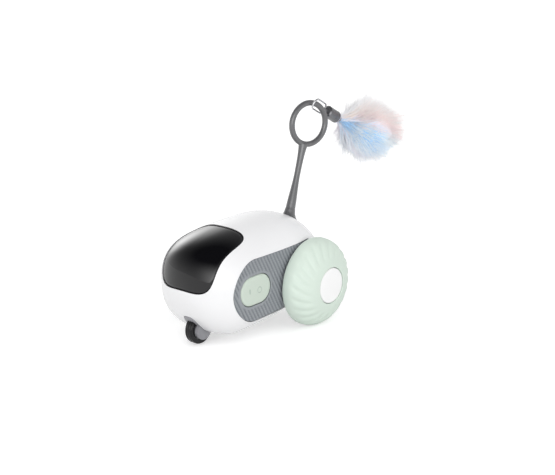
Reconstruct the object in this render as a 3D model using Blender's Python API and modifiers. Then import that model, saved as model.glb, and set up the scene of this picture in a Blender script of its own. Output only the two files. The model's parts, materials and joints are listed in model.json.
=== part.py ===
"""Interactive mouse cat toy: an egg-shaped body on two domed driven wheels and a front roller,
with a soft tail whose ring carries a wire loop, a ferrule and a tuft.

Metres, +Z up. The nose points to -Y and the toy's left side to +X. Pieces are laid out from the
line under the rear axle, and one empty carries that line to its place in the object's frame.
"""
import math

import bmesh
import bpy
from mathutils import Euler, Matrix, Vector

# Object frame and fits
AXLE_Y = -0.0138
FIT_GAP = 0.0003
CUT_OVERRUN = 0.0100
MERGE_DISTANCE = 0.00001
SMOOTH_ANGLE = math.radians(35)

# Body egg: its outline is four power curves that meet at its widest, highest and lowest stations
NOSE_Y = -0.0717
REAR_Y = 0.0208
WIDEST_Y = -0.0444
HIGHEST_Y = -0.0146
LOWEST_Y = -0.0523
BODY_HALF_WIDTH = 0.0298
BODY_TOP_Z = 0.0597
BODY_LOW_Z = 0.0056
BELLY_Z = 0.0068
NOSE_Z = 0.0320
REAR_Z = 0.0339
WIDTH_NOSE_POWER = 2.15
WIDTH_REAR_POWER = 3.6
TOP_NOSE_POWER = 3.4
TOP_REAR_POWER = 2.2
LOW_NOSE_POWER = 1.67
LOW_REAR_POWER = 2.7
UPPER_SECTION_POWER = 2.14
LOWER_SECTION_POWER = 2.93
WALL = 0.0020
EGG_SEGMENTS = 36
EGG_RINGS = 24
LINING_SEGMENTS = 24
LINING_RINGS = 16
CHASSIS_SIDE_ROOM = 0.0158
CHASSIS_HALF_WIDTH = BODY_HALF_WIDTH - CHASSIS_SIDE_ROOM
RAIL_OVERLAP = 0.0016
RAIL_INNER_X = CHASSIS_HALF_WIDTH - RAIL_OVERLAP
RAIL_THICKNESS = 0.0017
RAIL_FRONT_Y = -0.0450
RAIL_REAR_Y = -0.0020

# Side panels
PANEL_INSET = 0.0040
PANEL_FACE_X = BODY_HALF_WIDTH - PANEL_INSET
PANEL_THICKNESS = 0.0024
PANEL_LOW_Z = 0.0135
PANEL_TOP_Z = 0.0463
PANEL_FRONT_Y = -0.0592
PANEL_ARC_STEPS = 14

# Power button and its switch
BUTTON_LENGTH = 0.0227
BUTTON_HEIGHT = 0.0155
BUTTON_PROUD = 0.0006
BUTTON_FLANGE = 0.0012
BUTTON_FLANGE_THICKNESS = 0.0012
BUTTON_TRAVEL = 0.0008
BUTTON_EDGE = 0.0005
SWITCH_SIZE = 0.0060
SWITCH_THICKNESS = 0.0028
PLUNGER_RADIUS = 0.0016
PLUNGER_LENGTH = 0.0008
SWITCH_BOARD_WIDTH = 0.0140
SWITCH_BOARD_HEIGHT = 0.0280
BOARD_THICKNESS = 0.0016
SWITCH_POST_RADIUS = 0.0016
SWITCH_POST_SPACING = 0.0246

# Visor
VISOR_TILT = math.radians(52.4)
VISOR_SIDE_ROOM = 0.0109
VISOR_HALF_WIDTH = BODY_HALF_WIDTH - VISOR_SIDE_ROOM
VISOR_HALF_HEIGHT = 0.0205
VISOR_CENTRE = 0.0022
VISOR_CORNER_POWER = 3.85
VISOR_BACK = 0.0540
VISOR_FRONT = 0.1000
VISOR_INSET = 0.0004
VISOR_WALL = 0.0016
VISOR_STEPS = 48

# Rear wheels
WHEEL_RADIUS = 0.0240
WHEEL_INSET = 0.0014
WHEEL_PLANE_X = BODY_HALF_WIDTH - WHEEL_INSET
WHEEL_DOME = 0.0140
WHEEL_DOME_POWER = 2.39
WHEEL_BACK = 0.0012
TYRE_WALL = 0.0024
TYRE_BACK_EDGE = 0.0008
HUB_RADIUS = 0.0096
HUB_CAP_REACH = 0.0134
HUB_CAP_FACE_X = WHEEL_PLANE_X + HUB_CAP_REACH
HUB_CAP_THICKNESS = 0.0016
HUB_CAP_EDGE = 0.0004
CORE_PLATE = 0.0022
CORE_WEB = 0.0020
DOME_STEPS = 9
WHEEL_SEGMENTS = 40

# Axles, bushes and gears
AXLE_RADIUS = 0.0020
AXLE_INNER_ROOM = 0.0054
AXLE_INNER_X = CHASSIS_HALF_WIDTH - AXLE_INNER_ROOM
AXLE_END_INSET = 0.0033
AXLE_OUTER_X = HUB_CAP_FACE_X - AXLE_END_INSET
BUSH_WALL = 0.0011
BUSH_BEHIND_FACE = 0.0032
BUSH_PROUD = 0.0008
BUSH_INNER_X = PANEL_FACE_X - BUSH_BEHIND_FACE
BUSH_OUTER_X = PANEL_FACE_X + BUSH_PROUD
GEAR_MODULE_SHARE = 0.025
GEAR_MODULE = WHEEL_RADIUS * GEAR_MODULE_SHARE
GEAR_TEETH = 24
PINION_TEETH = 8
TOOTH_TIP_SHARE = 0.13
TOOTH_ROOT_SHARE = 0.27
TOOTH_ADDENDUM_SHARE = 0.85
TOOTH_DEDENDUM_SHARE = 1.20
GEAR_WIDTH = 0.0035
GEAR_INNER_X = CHASSIS_HALF_WIDTH
GEAR_OUTER_X = GEAR_INNER_X + GEAR_WIDTH
SHAFT_SEGMENTS = 20

# Motors
MOTOR_RADIUS = 0.0050
MOTOR_INNER_X = 0.0012
MOTOR_GEAR_ROOM = 0.0018
MOTOR_OUTER_X = GEAR_INNER_X - MOTOR_GEAR_ROOM
MOTOR_BOSS_RADIUS = 0.0021
MOTOR_BOSS_LENGTH = 0.0010
MOTOR_SHAFT_RADIUS = 0.00075
MOTOR_BORE_DEPTH = 0.0027
MOTOR_SHAFT_INNER_X = MOTOR_OUTER_X - MOTOR_BORE_DEPTH
MOTOR_EDGE = 0.0006

# Chassis
CHASSIS_FRONT_Y = -0.0465
CHASSIS_REAR_Y = 0.0010
CHASSIS_FLOOR_Z = 0.0140
CHASSIS_FLOOR = 0.0015
CRADLE_INSET = 0.0058
CRADLE_INNER_X = CHASSIS_HALF_WIDTH - CRADLE_INSET
CRADLE_THICKNESS = 0.0020
CRADLE_MARGIN = 0.0020
BOARD_POST_RADIUS = 0.0013
BOARD_POST_INSET = 0.0016
POST_SEGMENTS = 12

# Battery and main board
BATTERY_SIDE_ROOM = 0.0035
BATTERY_HALF_WIDTH = CHASSIS_HALF_WIDTH - BATTERY_SIDE_ROOM
BATTERY_LENGTH = 0.0250
BATTERY_HEIGHT = 0.0090
BATTERY_EDGE = 0.0012
MAIN_BOARD_LENGTH = 0.0275

# Bottom cover and its screws
COVER_FRONT_Y = -0.0470
COVER_REAR_Y = -0.0150
COVER_INSET = 0.0022
COVER_HALF_WIDTH = CHASSIS_HALF_WIDTH - COVER_INSET
COVER_CORNER = 0.0030
SCREW_INSET = 0.0032
SCREW_X = COVER_HALF_WIDTH - SCREW_INSET
SCREW_FRONT_Y = -0.0420
SCREW_REAR_Y = -0.0200
SCREW_HEAD_RADIUS = 0.0018
SCREW_HEAD_HEIGHT = 0.0009
SCREW_HEAD_SUNK = 0.0001
SCREW_RADIUS = 0.0009
SCREW_LENGTH = 0.0052
SCREW_POST_RADIUS = 0.0024

# Front roller and its well
ROLLER_Y = -0.0595
ROLLER_RADIUS = 0.0079
ROLLER_HALF_WIDTH = 0.0024
ROLLER_HUB_RADIUS = 0.0050
ROLLER_HUB_INSET = 0.0002
ROLLER_SHOULDER = 0.0008
ROLLER_GROOVE_X = 0.0009
ROLLER_GROOVE = 0.0005
ROLLER_PIN_RADIUS = 0.0008
WELL_HALF_WIDTH = 0.0029
WELL_WALL = 0.0012
WELL_FRONT_Y = -0.0665
WELL_REAR_Y = -0.0492
WELL_CORNER = 0.0030
WELL_ROOF_Z = 0.0180
WELL_CHEEK_RADIUS = 0.0051
WELL_PIN_DEPTH = 0.0007
ROLLER_SEGMENTS = 32

# Charging socket
CHARGER_Z = 0.0300
CHARGER_WIDTH = 0.0089
CHARGER_HEIGHT = 0.0032
CHARGER_LENGTH = 0.0072
CHARGER_SUNK = 0.0008
CHARGER_WALL = 0.0004
CHARGER_DEPTH = 0.0060

# Tail: socket, rod and ring
TAIL_HINGE_Y = 0.0156
TAIL_HINGE_Z = 0.0555
TAIL_BALL_RADIUS = 0.0029
TAIL_BASE_RADIUS = 0.0023
TAIL_WAIST_RADIUS = 0.0017
TAIL_NECK_RADIUS = 0.0030
TAIL_RING_Y = 0.0326
TAIL_RING_Z = 0.1016
TAIL_RING_RADIUS = 0.0116
TAIL_TUBE_RADIUS = 0.00165
TAIL_RING_TURN = math.radians(13.3)
SOCKET_LEAN = math.radians(20.2)
SOCKET_RIM = 0.0003
SOCKET_FLARE = 0.0050
SOCKET_FLARE_DEPTH = 0.0085
SOCKET_FLARE_POWER = 1.7
SOCKET_PLUG_RADIUS = 0.0046
SOCKET_PLUG_LENGTH = 0.0110
TAIL_ROD_STEPS = 9
TAIL_RING_STEPS = 40
SOCKET_STEPS = 8
TURNED_SEGMENTS = 24
TAIL_SWELL_POWER = 7.0

# Wire loop, ferrule and tuft
LOOP_STATION = math.radians(40)
LOOP_SLANT = math.radians(14)
LOOP_ROLL = math.radians(20)
LOOP_HALF_WIDTH = 0.0031
LOOP_HALF_LENGTH = 0.0076
LOOP_WIRE_RADIUS = 0.0005
LOOP_ARC_STEPS = 8
FERRULE_DROP = math.radians(29)
FERRULE_RADIUS = 0.00345
FERRULE_START = 0.0024
FERRULE_END = 0.0146
FERRULE_EDGE = 0.0005
FERRULE_BORE_DEPTH = 0.0060
LUG_WALL = 0.0007
LUG_THICKNESS = 0.0016
TUFT_DROP = math.radians(26.4)
TUFT_TURN = math.radians(20)
TUFT_LENGTH = 0.0425
TUFT_RADIUS = 0.0198
TUFT_POWER = 2.0
TUFT_ROOT_RADIUS = 0.0026
TUFT_ROOT_OUT = 0.0016
TUFT_STEPS = 12
TUFT_SEGMENTS = 24

COLOURS = {
    "white_shell": ((0.86, 0.86, 0.87), 0.30, 0.0),
    "black_gloss": ((0.010, 0.010, 0.011), 0.08, 0.0),
    "grey_panel": ((0.27, 0.29, 0.31), 0.45, 0.0),
    "mint": ((0.66, 0.76, 0.68), 0.45, 0.0),
    "mint_button": ((0.62, 0.70, 0.62), 0.40, 0.0),
    "hub_white": ((0.90, 0.90, 0.90), 0.35, 0.0),
    "inner_grey": ((0.22, 0.22, 0.23), 0.55, 0.0),
    "steel": ((0.60, 0.60, 0.62), 0.30, 1.0),
    "brass": ((0.72, 0.55, 0.25), 0.35, 1.0),
    "gear_plastic": ((0.80, 0.80, 0.76), 0.50, 0.0),
    "board_green": ((0.03, 0.16, 0.08), 0.50, 0.0),
    "switch_black": ((0.03, 0.03, 0.03), 0.50, 0.0),
    "battery_wrap": ((0.10, 0.24, 0.50), 0.40, 0.0),
    "tyre_black": ((0.012, 0.012, 0.013), 0.25, 0.0),
    "well_grey": ((0.30, 0.30, 0.32), 0.40, 0.0),
    "tail_grey": ((0.19, 0.19, 0.20), 0.45, 0.0),
    "wire": ((0.45, 0.45, 0.46), 0.25, 1.0),
    "ferrule_grey": ((0.10, 0.10, 0.11), 0.35, 0.4),
    "tuft": ((0.78, 0.84, 0.95), 0.90, 0.0),
}


# Sizes that follow from the named ones

def panel_radius():
    """Half the panel's height, which is also the radius of its round front."""
    return (PANEL_TOP_Z - PANEL_LOW_Z) / 2


def panel_centre():
    """Centre of the panel's round front, where the button sits, as (y, z)."""
    return PANEL_FRONT_Y + panel_radius(), PANEL_LOW_Z + panel_radius()


def pinion_offset():
    """Distance between a wheel's axle and its motor shaft."""
    return GEAR_MODULE * (GEAR_TEETH + PINION_TEETH) / 2


def button_hole_x():
    """Inner face of the side panels."""
    return PANEL_FACE_X - PANEL_THICKNESS


def power_curve(y, station, front, rear, front_power, rear_power):
    """A height that falls from 1 at its station to 0 at both ends along a power curve."""
    span, power = (station - front, front_power) if y < station else (rear - station, rear_power)
    share = min(abs(y - station) / span, 1.0)
    return max(1.0 - share ** power, 0.0) ** (1.0 / power)


def centre_height(y):
    """Height of the line where the egg's upper and lower halves meet."""
    return NOSE_Z + (REAR_Z - NOSE_Z) * (y - NOSE_Y) / (REAR_Y - NOSE_Y)


def egg_section(y, inset):
    """Half-width, centre height, height above it and depth below it of the inset egg at y."""
    front = NOSE_Y + inset
    rear = REAR_Y - inset
    middle = centre_height(HIGHEST_Y)
    width = BODY_HALF_WIDTH - inset
    above = BODY_TOP_Z - inset - middle
    below = middle - BODY_LOW_Z - inset
    width *= power_curve(y, WIDEST_Y, front, rear, WIDTH_NOSE_POWER, WIDTH_REAR_POWER)
    above *= power_curve(y, HIGHEST_Y, front, rear, TOP_NOSE_POWER, TOP_REAR_POWER)
    below *= power_curve(y, LOWEST_Y, front, rear, LOW_NOSE_POWER, LOW_REAR_POWER)
    return width, centre_height(y), above, below


def egg_floor(x, y, inset):
    """Height of the inset egg's underside at (x, y)."""
    width, centre, _, below = egg_section(y, inset)
    share = min(abs(x) / width, 1.0)
    depth = below * (1.0 - share ** LOWER_SECTION_POWER) ** (1.0 / LOWER_SECTION_POWER)
    return max(centre - depth, BELLY_Z + inset)


def signed_power(value, power):
    """A power that keeps its base's sign."""
    return math.copysign(abs(value) ** power, value)


def egg_point(direction, inset):
    """Point of the inset egg for a unit sphere's vertex, whose pole +Z goes to the nose."""
    y = NOSE_Y + inset + (REAR_Y - NOSE_Y - 2 * inset) * (1.0 - direction.z) / 2
    width, centre, above, below = egg_section(y, inset)
    ring = math.hypot(direction.x, direction.y) or 1.0
    across, up = direction.x / ring, direction.y / ring
    power = 2.0 / (UPPER_SECTION_POWER if up > 0 else LOWER_SECTION_POWER)
    height = (above if up > 0 else below) * signed_power(up, power)
    return Vector((width * signed_power(across, power), y, max(centre + height, BELLY_Z + inset)))


# Building helpers

def clear_scene():
    """Remove what the start file holds."""
    for item in list(bpy.data.objects):
        bpy.data.objects.remove(item, do_unlink=True)
    for group in list(bpy.data.collections):
        bpy.data.collections.remove(group)


def make_materials():
    """One Principled material for each colour."""
    for name, (colour, roughness, metallic) in COLOURS.items():
        material = bpy.data.materials.get(name) or bpy.data.materials.new(name)
        material.use_nodes = True
        shader = material.node_tree.nodes["Principled BSDF"]
        shader.inputs["Base Color"].default_value = (*colour, 1.0)
        shader.inputs["Roughness"].default_value = roughness
        shader.inputs["Metallic"].default_value = metallic


def make_groups():
    """The part collection, the cutter collection and the empty that carries every piece."""
    for name in ("mouse_cat_toy", "cutters"):
        bpy.context.scene.collection.children.link(bpy.data.collections.new(name))
    root = bpy.data.objects.new("toy_frame", None)
    root.location = (0, AXLE_Y, 0)
    bpy.data.collections["mouse_cat_toy"].objects.link(root)


def add_object(name, mesh, group, location, rotation):
    """Link a mesh as an object that the frame's empty carries."""
    item = bpy.data.objects.new(name, mesh)
    bpy.data.collections[group].objects.link(item)
    item.parent = bpy.data.objects["toy_frame"]
    item.location = location
    item.rotation_euler = rotation
    return item


def add_part(name, mesh, material, location=(0, 0, 0), rotation=(0, 0, 0)):
    """A visible piece with its own material."""
    if material not in [slot.name for slot in mesh.materials]:
        mesh.materials.append(bpy.data.materials[material])
    return add_object(name, mesh, "mouse_cat_toy", location, rotation)


def add_cutter(name, mesh, location=(0, 0, 0), rotation=(0, 0, 0)):
    """A hidden operand for Boolean modifiers."""
    item = add_object(name, mesh, "cutters", location, rotation)
    item.hide_render = True
    item.display_type = "WIRE"
    return item


def combine(item, other, operation):
    """Add an exact Boolean modifier."""
    modifier = item.modifiers.new(other.name, "BOOLEAN")
    modifier.operation = operation
    modifier.solver = "EXACT"
    modifier.object = other


def round_edges(item, width, segments=2):
    """Bevel the sharp edges."""
    modifier = item.modifiers.new("edges", "BEVEL")
    modifier.width = width
    modifier.segments = segments
    modifier.limit_method = "ANGLE"
    modifier.angle_limit = SMOOTH_ANGLE


def finish_mesh(bm, name):
    """Turn a bmesh into a smooth mesh with sharp corners."""
    bmesh.ops.recalc_face_normals(bm, faces=bm.faces)
    mesh = bpy.data.meshes.new(name)
    bm.to_mesh(mesh)
    bm.free()
    mesh.shade_smooth()
    mesh.set_sharp_from_angle(angle=SMOOTH_ANGLE)
    return mesh


def box_mesh(name, size):
    """A box about its own centre."""
    bm = bmesh.new()
    bmesh.ops.create_cube(bm, size=1.0, matrix=Matrix.Diagonal((*size, 1.0)))
    return finish_mesh(bm, name)


def rod_mesh(name, radius, length, segments=SHAFT_SEGMENTS):
    """A cylinder along Z about its own centre."""
    bm = bmesh.new()
    bmesh.ops.create_cone(bm, cap_ends=True, segments=segments, radius1=radius, radius2=radius, depth=length)
    return finish_mesh(bm, name)


def ball_mesh(name, radius, segments=16, rings=10):
    """A sphere about its own centre."""
    bm = bmesh.new()
    bmesh.ops.create_uvsphere(bm, u_segments=segments, v_segments=rings, radius=radius)
    return finish_mesh(bm, name)


def egg_mesh(name, inset, segments, rings):
    """The body's egg, inset by a distance, shaped from a sphere whose poles are its ends."""
    bm = bmesh.new()
    bmesh.ops.create_uvsphere(bm, u_segments=segments, v_segments=rings, radius=1.0)
    for vertex in bm.verts:
        vertex.co = egg_point(vertex.co.normalized(), inset)
    bmesh.ops.triangulate(bm, faces=bm.faces)
    return finish_mesh(bm, name)


def curve_to_mesh(curve, name):
    """Evaluate a curve, weld its caps and drop the curve."""
    item = bpy.data.objects.new(name, curve)
    bpy.context.scene.collection.objects.link(item)
    graph = bpy.context.evaluated_depsgraph_get()
    mesh = bpy.data.meshes.new_from_object(item.evaluated_get(graph))
    bpy.data.objects.remove(item, do_unlink=True)
    bpy.data.curves.remove(curve)
    bm = bmesh.new()
    bm.from_mesh(mesh)
    bmesh.ops.remove_doubles(bm, verts=bm.verts, dist=MERGE_DISTANCE)
    bpy.data.meshes.remove(mesh)
    return finish_mesh(bm, name)


def plate_mesh(name, outlines, thickness):
    """A flat plate about its middle plane from closed outlines, the first of which is the rim."""
    curve = bpy.data.curves.new(name, "CURVE")
    curve.dimensions = "2D"
    curve.fill_mode = "BOTH"
    curve.extrude = thickness / 2
    for outline in outlines:
        spline = curve.splines.new("POLY")
        spline.points.add(len(outline) - 1)
        for point, (across, up) in zip(spline.points, outline):
            point.co = (across, up, 0, 1)
        spline.use_cyclic_u = True
    return curve_to_mesh(curve, name)


def wire_mesh(name, points, radii, closed):
    """A round wire or rod along points, with a radius at each."""
    curve = bpy.data.curves.new(name, "CURVE")
    curve.dimensions = "3D"
    curve.bevel_depth = 1.0
    curve.bevel_resolution = 2
    curve.use_fill_caps = True
    spline = curve.splines.new("POLY")
    spline.points.add(len(points) - 1)
    for point, place, radius in zip(spline.points, points, radii):
        point.co = (*place, 1)
        point.radius = radius
    spline.use_cyclic_u = closed
    return curve_to_mesh(curve, name)


def turned_part(name, profile, segments, maker, *details):
    """A closed (radius, height) profile turned about Z, its outer side drawn from top to bottom."""
    mesh = bpy.data.meshes.new(name)
    points = [(radius, 0, height) for radius, height in profile]
    edges = [(i, (i + 1) % len(points)) for i in range(len(points))]
    edges = [(a, b) for a, b in edges if points[a][0] > 0 or points[b][0] > 0]
    mesh.from_pydata(points, edges, [])
    item = maker(name, mesh, *details)
    screw = item.modifiers.new("turn", "SCREW")
    screw.axis = "Z"
    screw.steps = segments
    screw.render_steps = segments
    screw.use_merge_vertices = True
    screw.merge_threshold = MERGE_DISTANCE
    screw.use_smooth_shade = True
    return item


def rounded_rectangle(low, high, corner, steps=5):
    """Outline of a rectangle with round corners."""
    points = []
    corners = ((high[0], high[1]), (low[0], high[1]), (low[0], low[1]), (high[0], low[1]))
    for start, (x, y) in enumerate(corners):
        centre_x = x - math.copysign(corner, x - low[0] - corner)
        centre_y = y - math.copysign(corner, y - low[1] - corner)
        for i in range(steps + 1):
            angle = (start + i / steps) * math.pi / 2
            points.append((centre_x + corner * math.cos(angle), centre_y + corner * math.sin(angle)))
    return points


def stadium(length, height, steps=10):
    """Outline of a slot shape about its centre."""
    radius = height / 2
    reach = length / 2 - radius
    points = []
    for side in (1, -1):
        for i in range(steps + 1):
            angle = (i / steps - 0.5) * math.pi
            points.append((side * (reach + radius * math.cos(angle)), side * radius * math.sin(angle)))
    return points


def side_rotation():
    """Turns a plate drawn in (y, z) so that its thickness lies along X."""
    return Matrix(((0, 0, 1), (1, 0, 0), (0, 1, 0))).to_euler()


def axle_rotation(side):
    """Turns a piece drawn along Z so that it points out of the toy's left (1) or right (-1) side."""
    return Euler((0, side * math.pi / 2, 0))


def frame_rotation(x_axis, y_axis, z_axis):
    """Rotation whose columns are the three axes."""
    return Matrix((x_axis, y_axis, z_axis)).transposed().to_euler()


# Body

def panel_outline(margin):
    """Round-fronted panel outline in (y, z), open to the rear past the body."""
    y_centre, z_centre = panel_centre()
    radius = panel_radius() + margin
    points = []
    for i in range(PANEL_ARC_STEPS + 1):
        angle = (0.5 + i / PANEL_ARC_STEPS) * math.pi
        points.append((y_centre + radius * math.cos(angle), z_centre + radius * math.sin(angle)))
    rear = REAR_Y + CUT_OVERRUN
    points.append((rear, z_centre - radius))
    points.append((rear, z_centre + radius))
    return points


def visor_outline(margin):
    """Visor outline across and up the tilted direction in which it is cut."""
    points = []
    for i in range(VISOR_STEPS):
        angle = 2 * math.pi * i / VISOR_STEPS
        across = signed_power(math.cos(angle), 2 / VISOR_CORNER_POWER) * (VISOR_HALF_WIDTH + margin)
        up = signed_power(math.sin(angle), 2 / VISOR_CORNER_POWER) * (VISOR_HALF_HEIGHT + margin)
        points.append((across, up))
    return points


def bush_cutter(name, side):
    """Round hole for a bush through the side of the body."""
    mesh = rod_mesh(name, AXLE_RADIUS + BUSH_WALL + 2 * FIT_GAP, CUT_OVERRUN)
    return add_cutter(name, mesh, (side * PANEL_FACE_X, 0, WHEEL_RADIUS), axle_rotation(side))


def visor_cutter(name, margin):
    """Prism through the visor's place."""
    mesh = plate_mesh(name, [visor_outline(margin)], VISOR_FRONT - VISOR_BACK)
    rotation = Euler((VISOR_TILT, 0, 0))
    location = Vector((0, VISOR_CENTRE, (VISOR_BACK + VISOR_FRONT) / 2))
    location.rotate(rotation)
    return add_cutter(name, mesh, location, rotation)


def cover_cutter(name, margin):
    """Prism through the belly where the bottom cover lies."""
    outline = rounded_rectangle((-COVER_HALF_WIDTH - margin, COVER_FRONT_Y - margin),
                                (COVER_HALF_WIDTH + margin, COVER_REAR_Y + margin), COVER_CORNER + margin)
    return add_cutter(name, plate_mesh(name, [outline], 2 * CUT_OVERRUN), (0, 0, BELLY_Z))


def well_cutter(name, half_width, margin, roof):
    """Prism of the roller well, from below the floor up to its roof."""
    outline = rounded_rectangle((-half_width, WELL_FRONT_Y - margin), (half_width, WELL_REAR_Y + margin),
                                WELL_CORNER + margin)
    mesh = plate_mesh(name, [outline], roof + CUT_OVERRUN)
    return add_cutter(name, mesh, (0, 0, (roof - CUT_OVERRUN) / 2))


def tail_rotation():
    """Rotation that leans local Z back along the tail's root."""
    return Euler((-SOCKET_LEAN, 0, 0))


def tail_hinge():
    """Centre of the tail's root."""
    return Vector((0, TAIL_HINGE_Y, TAIL_HINGE_Z))


def below_hinge(distance):
    """Point on the tail's root axis at a distance below the hinge."""
    offset = Vector((0, 0, -distance))
    offset.rotate(tail_rotation())
    return tail_hinge() + offset


def add_rails(shell):
    """Rails inside the casing's lower walls, on which the chassis rests."""
    middle_of_wall = add_cutter("rail_limit", egg_mesh("rail_limit", WALL / 2, LINING_SEGMENTS, LINING_RINGS))
    top = CHASSIS_FLOOR_Z - FIT_GAP
    size = (BODY_HALF_WIDTH - RAIL_INNER_X, RAIL_REAR_Y - RAIL_FRONT_Y, RAIL_THICKNESS)
    for side, label in ((1, "left"), (-1, "right")):
        name = "rail_" + label
        middle = (side * (BODY_HALF_WIDTH + RAIL_INNER_X) / 2, (RAIL_FRONT_Y + RAIL_REAR_Y) / 2,
                  top - RAIL_THICKNESS / 2)
        rail = add_cutter(name, box_mesh(name, size), middle)
        combine(rail, middle_of_wall, "INTERSECT")
        combine(shell, rail, "UNION")


def make_shell(lining):
    """White casing with its chassis rails and its openings."""
    shell = add_part("top_shell", egg_mesh("top_shell", 0, EGG_SEGMENTS, EGG_RINGS), "white_shell")
    combine(shell, lining, "DIFFERENCE")
    add_rails(shell)
    depth = CUT_OVERRUN
    for side, label in ((1, "left"), (-1, "right")):
        mesh = plate_mesh("panel_pocket_" + label, [panel_outline(FIT_GAP)], depth)
        x = side * (button_hole_x() - FIT_GAP + depth / 2)
        combine(shell, add_cutter("panel_pocket_" + label, mesh, (x, 0, 0), side_rotation()), "DIFFERENCE")
        combine(shell, bush_cutter("shell_bush_hole_" + label, side), "DIFFERENCE")
    combine(shell, visor_cutter("visor_opening", 0), "DIFFERENCE")
    combine(shell, cover_cutter("cover_opening", FIT_GAP), "DIFFERENCE")
    combine(shell, well_cutter("well_opening", WELL_HALF_WIDTH + WELL_WALL + FIT_GAP, FIT_GAP,
                               WELL_ROOF_Z + FIT_GAP), "DIFFERENCE")
    hole = rod_mesh("tail_opening", SOCKET_PLUG_RADIUS + FIT_GAP, SOCKET_PLUG_LENGTH)
    opening = add_cutter("tail_opening", hole, below_hinge(SOCKET_PLUG_LENGTH / 2), tail_rotation())
    combine(shell, opening, "DIFFERENCE")
    outline = stadium(CHARGER_WIDTH + 2 * FIT_GAP, CHARGER_HEIGHT + 2 * FIT_GAP)
    slot = plate_mesh("charger_opening", [outline], CUT_OVERRUN)
    opening = add_cutter("charger_opening", slot, (0, REAR_Y, CHARGER_Z), (math.pi / 2, 0, 0))
    combine(shell, opening, "DIFFERENCE")
    return shell


def screw_places():
    """The bottom cover's four screw places."""
    return [(x, y) for y in (SCREW_FRONT_Y, SCREW_REAR_Y) for x in (-SCREW_X, SCREW_X)]


def screw_seat_z(x, y):
    """Height of a screw head's underside, which is sunk just inside the cover."""
    return egg_floor(x, y, 0) + SCREW_HEAD_SUNK + SCREW_HEAD_HEIGHT


def make_cover(lining):
    """Bottom cover cut from the same egg, with its screw holes."""
    cover = add_part("base_cover", egg_mesh("base_cover", 0, EGG_SEGMENTS, EGG_RINGS), "white_shell")
    combine(cover, lining, "DIFFERENCE")
    combine(cover, cover_cutter("cover_outline", 0), "INTERSECT")
    for index, (x, y) in enumerate(screw_places(), 1):
        name = "cover_hole_%d" % index
        head = SCREW_HEAD_RADIUS + FIT_GAP
        shank = SCREW_RADIUS + FIT_GAP
        profile = [(0, CUT_OVERRUN), (shank, CUT_OVERRUN), (shank, FIT_GAP), (head, FIT_GAP),
                   (head, -CUT_OVERRUN), (0, -CUT_OVERRUN)]
        hole = turned_part(name, profile, SHAFT_SEGMENTS, add_cutter, (x, y, screw_seat_z(x, y)))
        combine(cover, hole, "DIFFERENCE")


def make_screws():
    """Four flat-headed cover screws."""
    shank = [(0, SCREW_LENGTH), (SCREW_RADIUS, SCREW_LENGTH), (SCREW_RADIUS, 0)]
    head = [(SCREW_HEAD_RADIUS, 0), (SCREW_HEAD_RADIUS, -SCREW_HEAD_HEIGHT), (0, -SCREW_HEAD_HEIGHT)]
    for index, (x, y) in enumerate(screw_places(), 1):
        turned_part("base_screw_%d" % index, shank + head, SHAFT_SEGMENTS, add_part, "steel",
                    (x, y, screw_seat_z(x, y)))


def make_visor():
    """Black window, set slightly below the shell's surface."""
    visor = add_part("visor", egg_mesh("visor", VISOR_INSET, EGG_SEGMENTS, EGG_RINGS), "black_gloss")
    back = egg_mesh("visor_back", VISOR_INSET + VISOR_WALL, LINING_SEGMENTS, LINING_RINGS)
    combine(visor, add_cutter("visor_back", back), "DIFFERENCE")
    combine(visor, visor_cutter("visor_rim", -FIT_GAP), "INTERSECT")


def make_panels(outer):
    """Side panels trimmed by the body's surface, with the axle holes and the button's hole."""
    y_centre, z_centre = panel_centre()
    for side, label in ((1, "left"), (-1, "right")):
        name = "side_panel_" + label
        x = side * (PANEL_FACE_X - PANEL_THICKNESS / 2)
        mesh = plate_mesh(name, [panel_outline(0)], PANEL_THICKNESS)
        panel = add_part(name, mesh, "grey_panel", (x, 0, 0), side_rotation())
        combine(panel, outer, "INTERSECT")
        combine(panel, bush_cutter("bush_hole_" + label, side), "DIFFERENCE")
        if side > 0:
            outline = stadium(BUTTON_LENGTH + 2 * FIT_GAP, BUTTON_HEIGHT + 2 * FIT_GAP)
            hole = plate_mesh("button_hole", [outline], CUT_OVERRUN)
            opening = add_cutter("button_hole", hole, (x, y_centre, z_centre), side_rotation())
            combine(panel, opening, "DIFFERENCE")
            add_switch_posts(panel)


def switch_board_x():
    """Middle plane of the switch's board, which leaves the plunger clear of the pressed button."""
    face = button_hole_x() - FIT_GAP - BUTTON_FLANGE_THICKNESS - BUTTON_TRAVEL - FIT_GAP
    return face - PLUNGER_LENGTH - SWITCH_THICKNESS - FIT_GAP - BOARD_THICKNESS / 2


def add_switch_posts(panel):
    """Posts on the left panel's back that carry the switch's board."""
    y_centre, z_centre = panel_centre()
    end = switch_board_x() + BOARD_THICKNESS / 2 + FIT_GAP
    start = PANEL_FACE_X - PANEL_THICKNESS / 2
    for index, offset in enumerate((-SWITCH_POST_SPACING / 2, SWITCH_POST_SPACING / 2), 1):
        name = "switch_post_%d" % index
        mesh = rod_mesh(name, SWITCH_POST_RADIUS, start - end)
        place = ((start + end) / 2, y_centre, z_centre + offset)
        combine(panel, add_cutter(name, mesh, place, axle_rotation(1)), "UNION")


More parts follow.
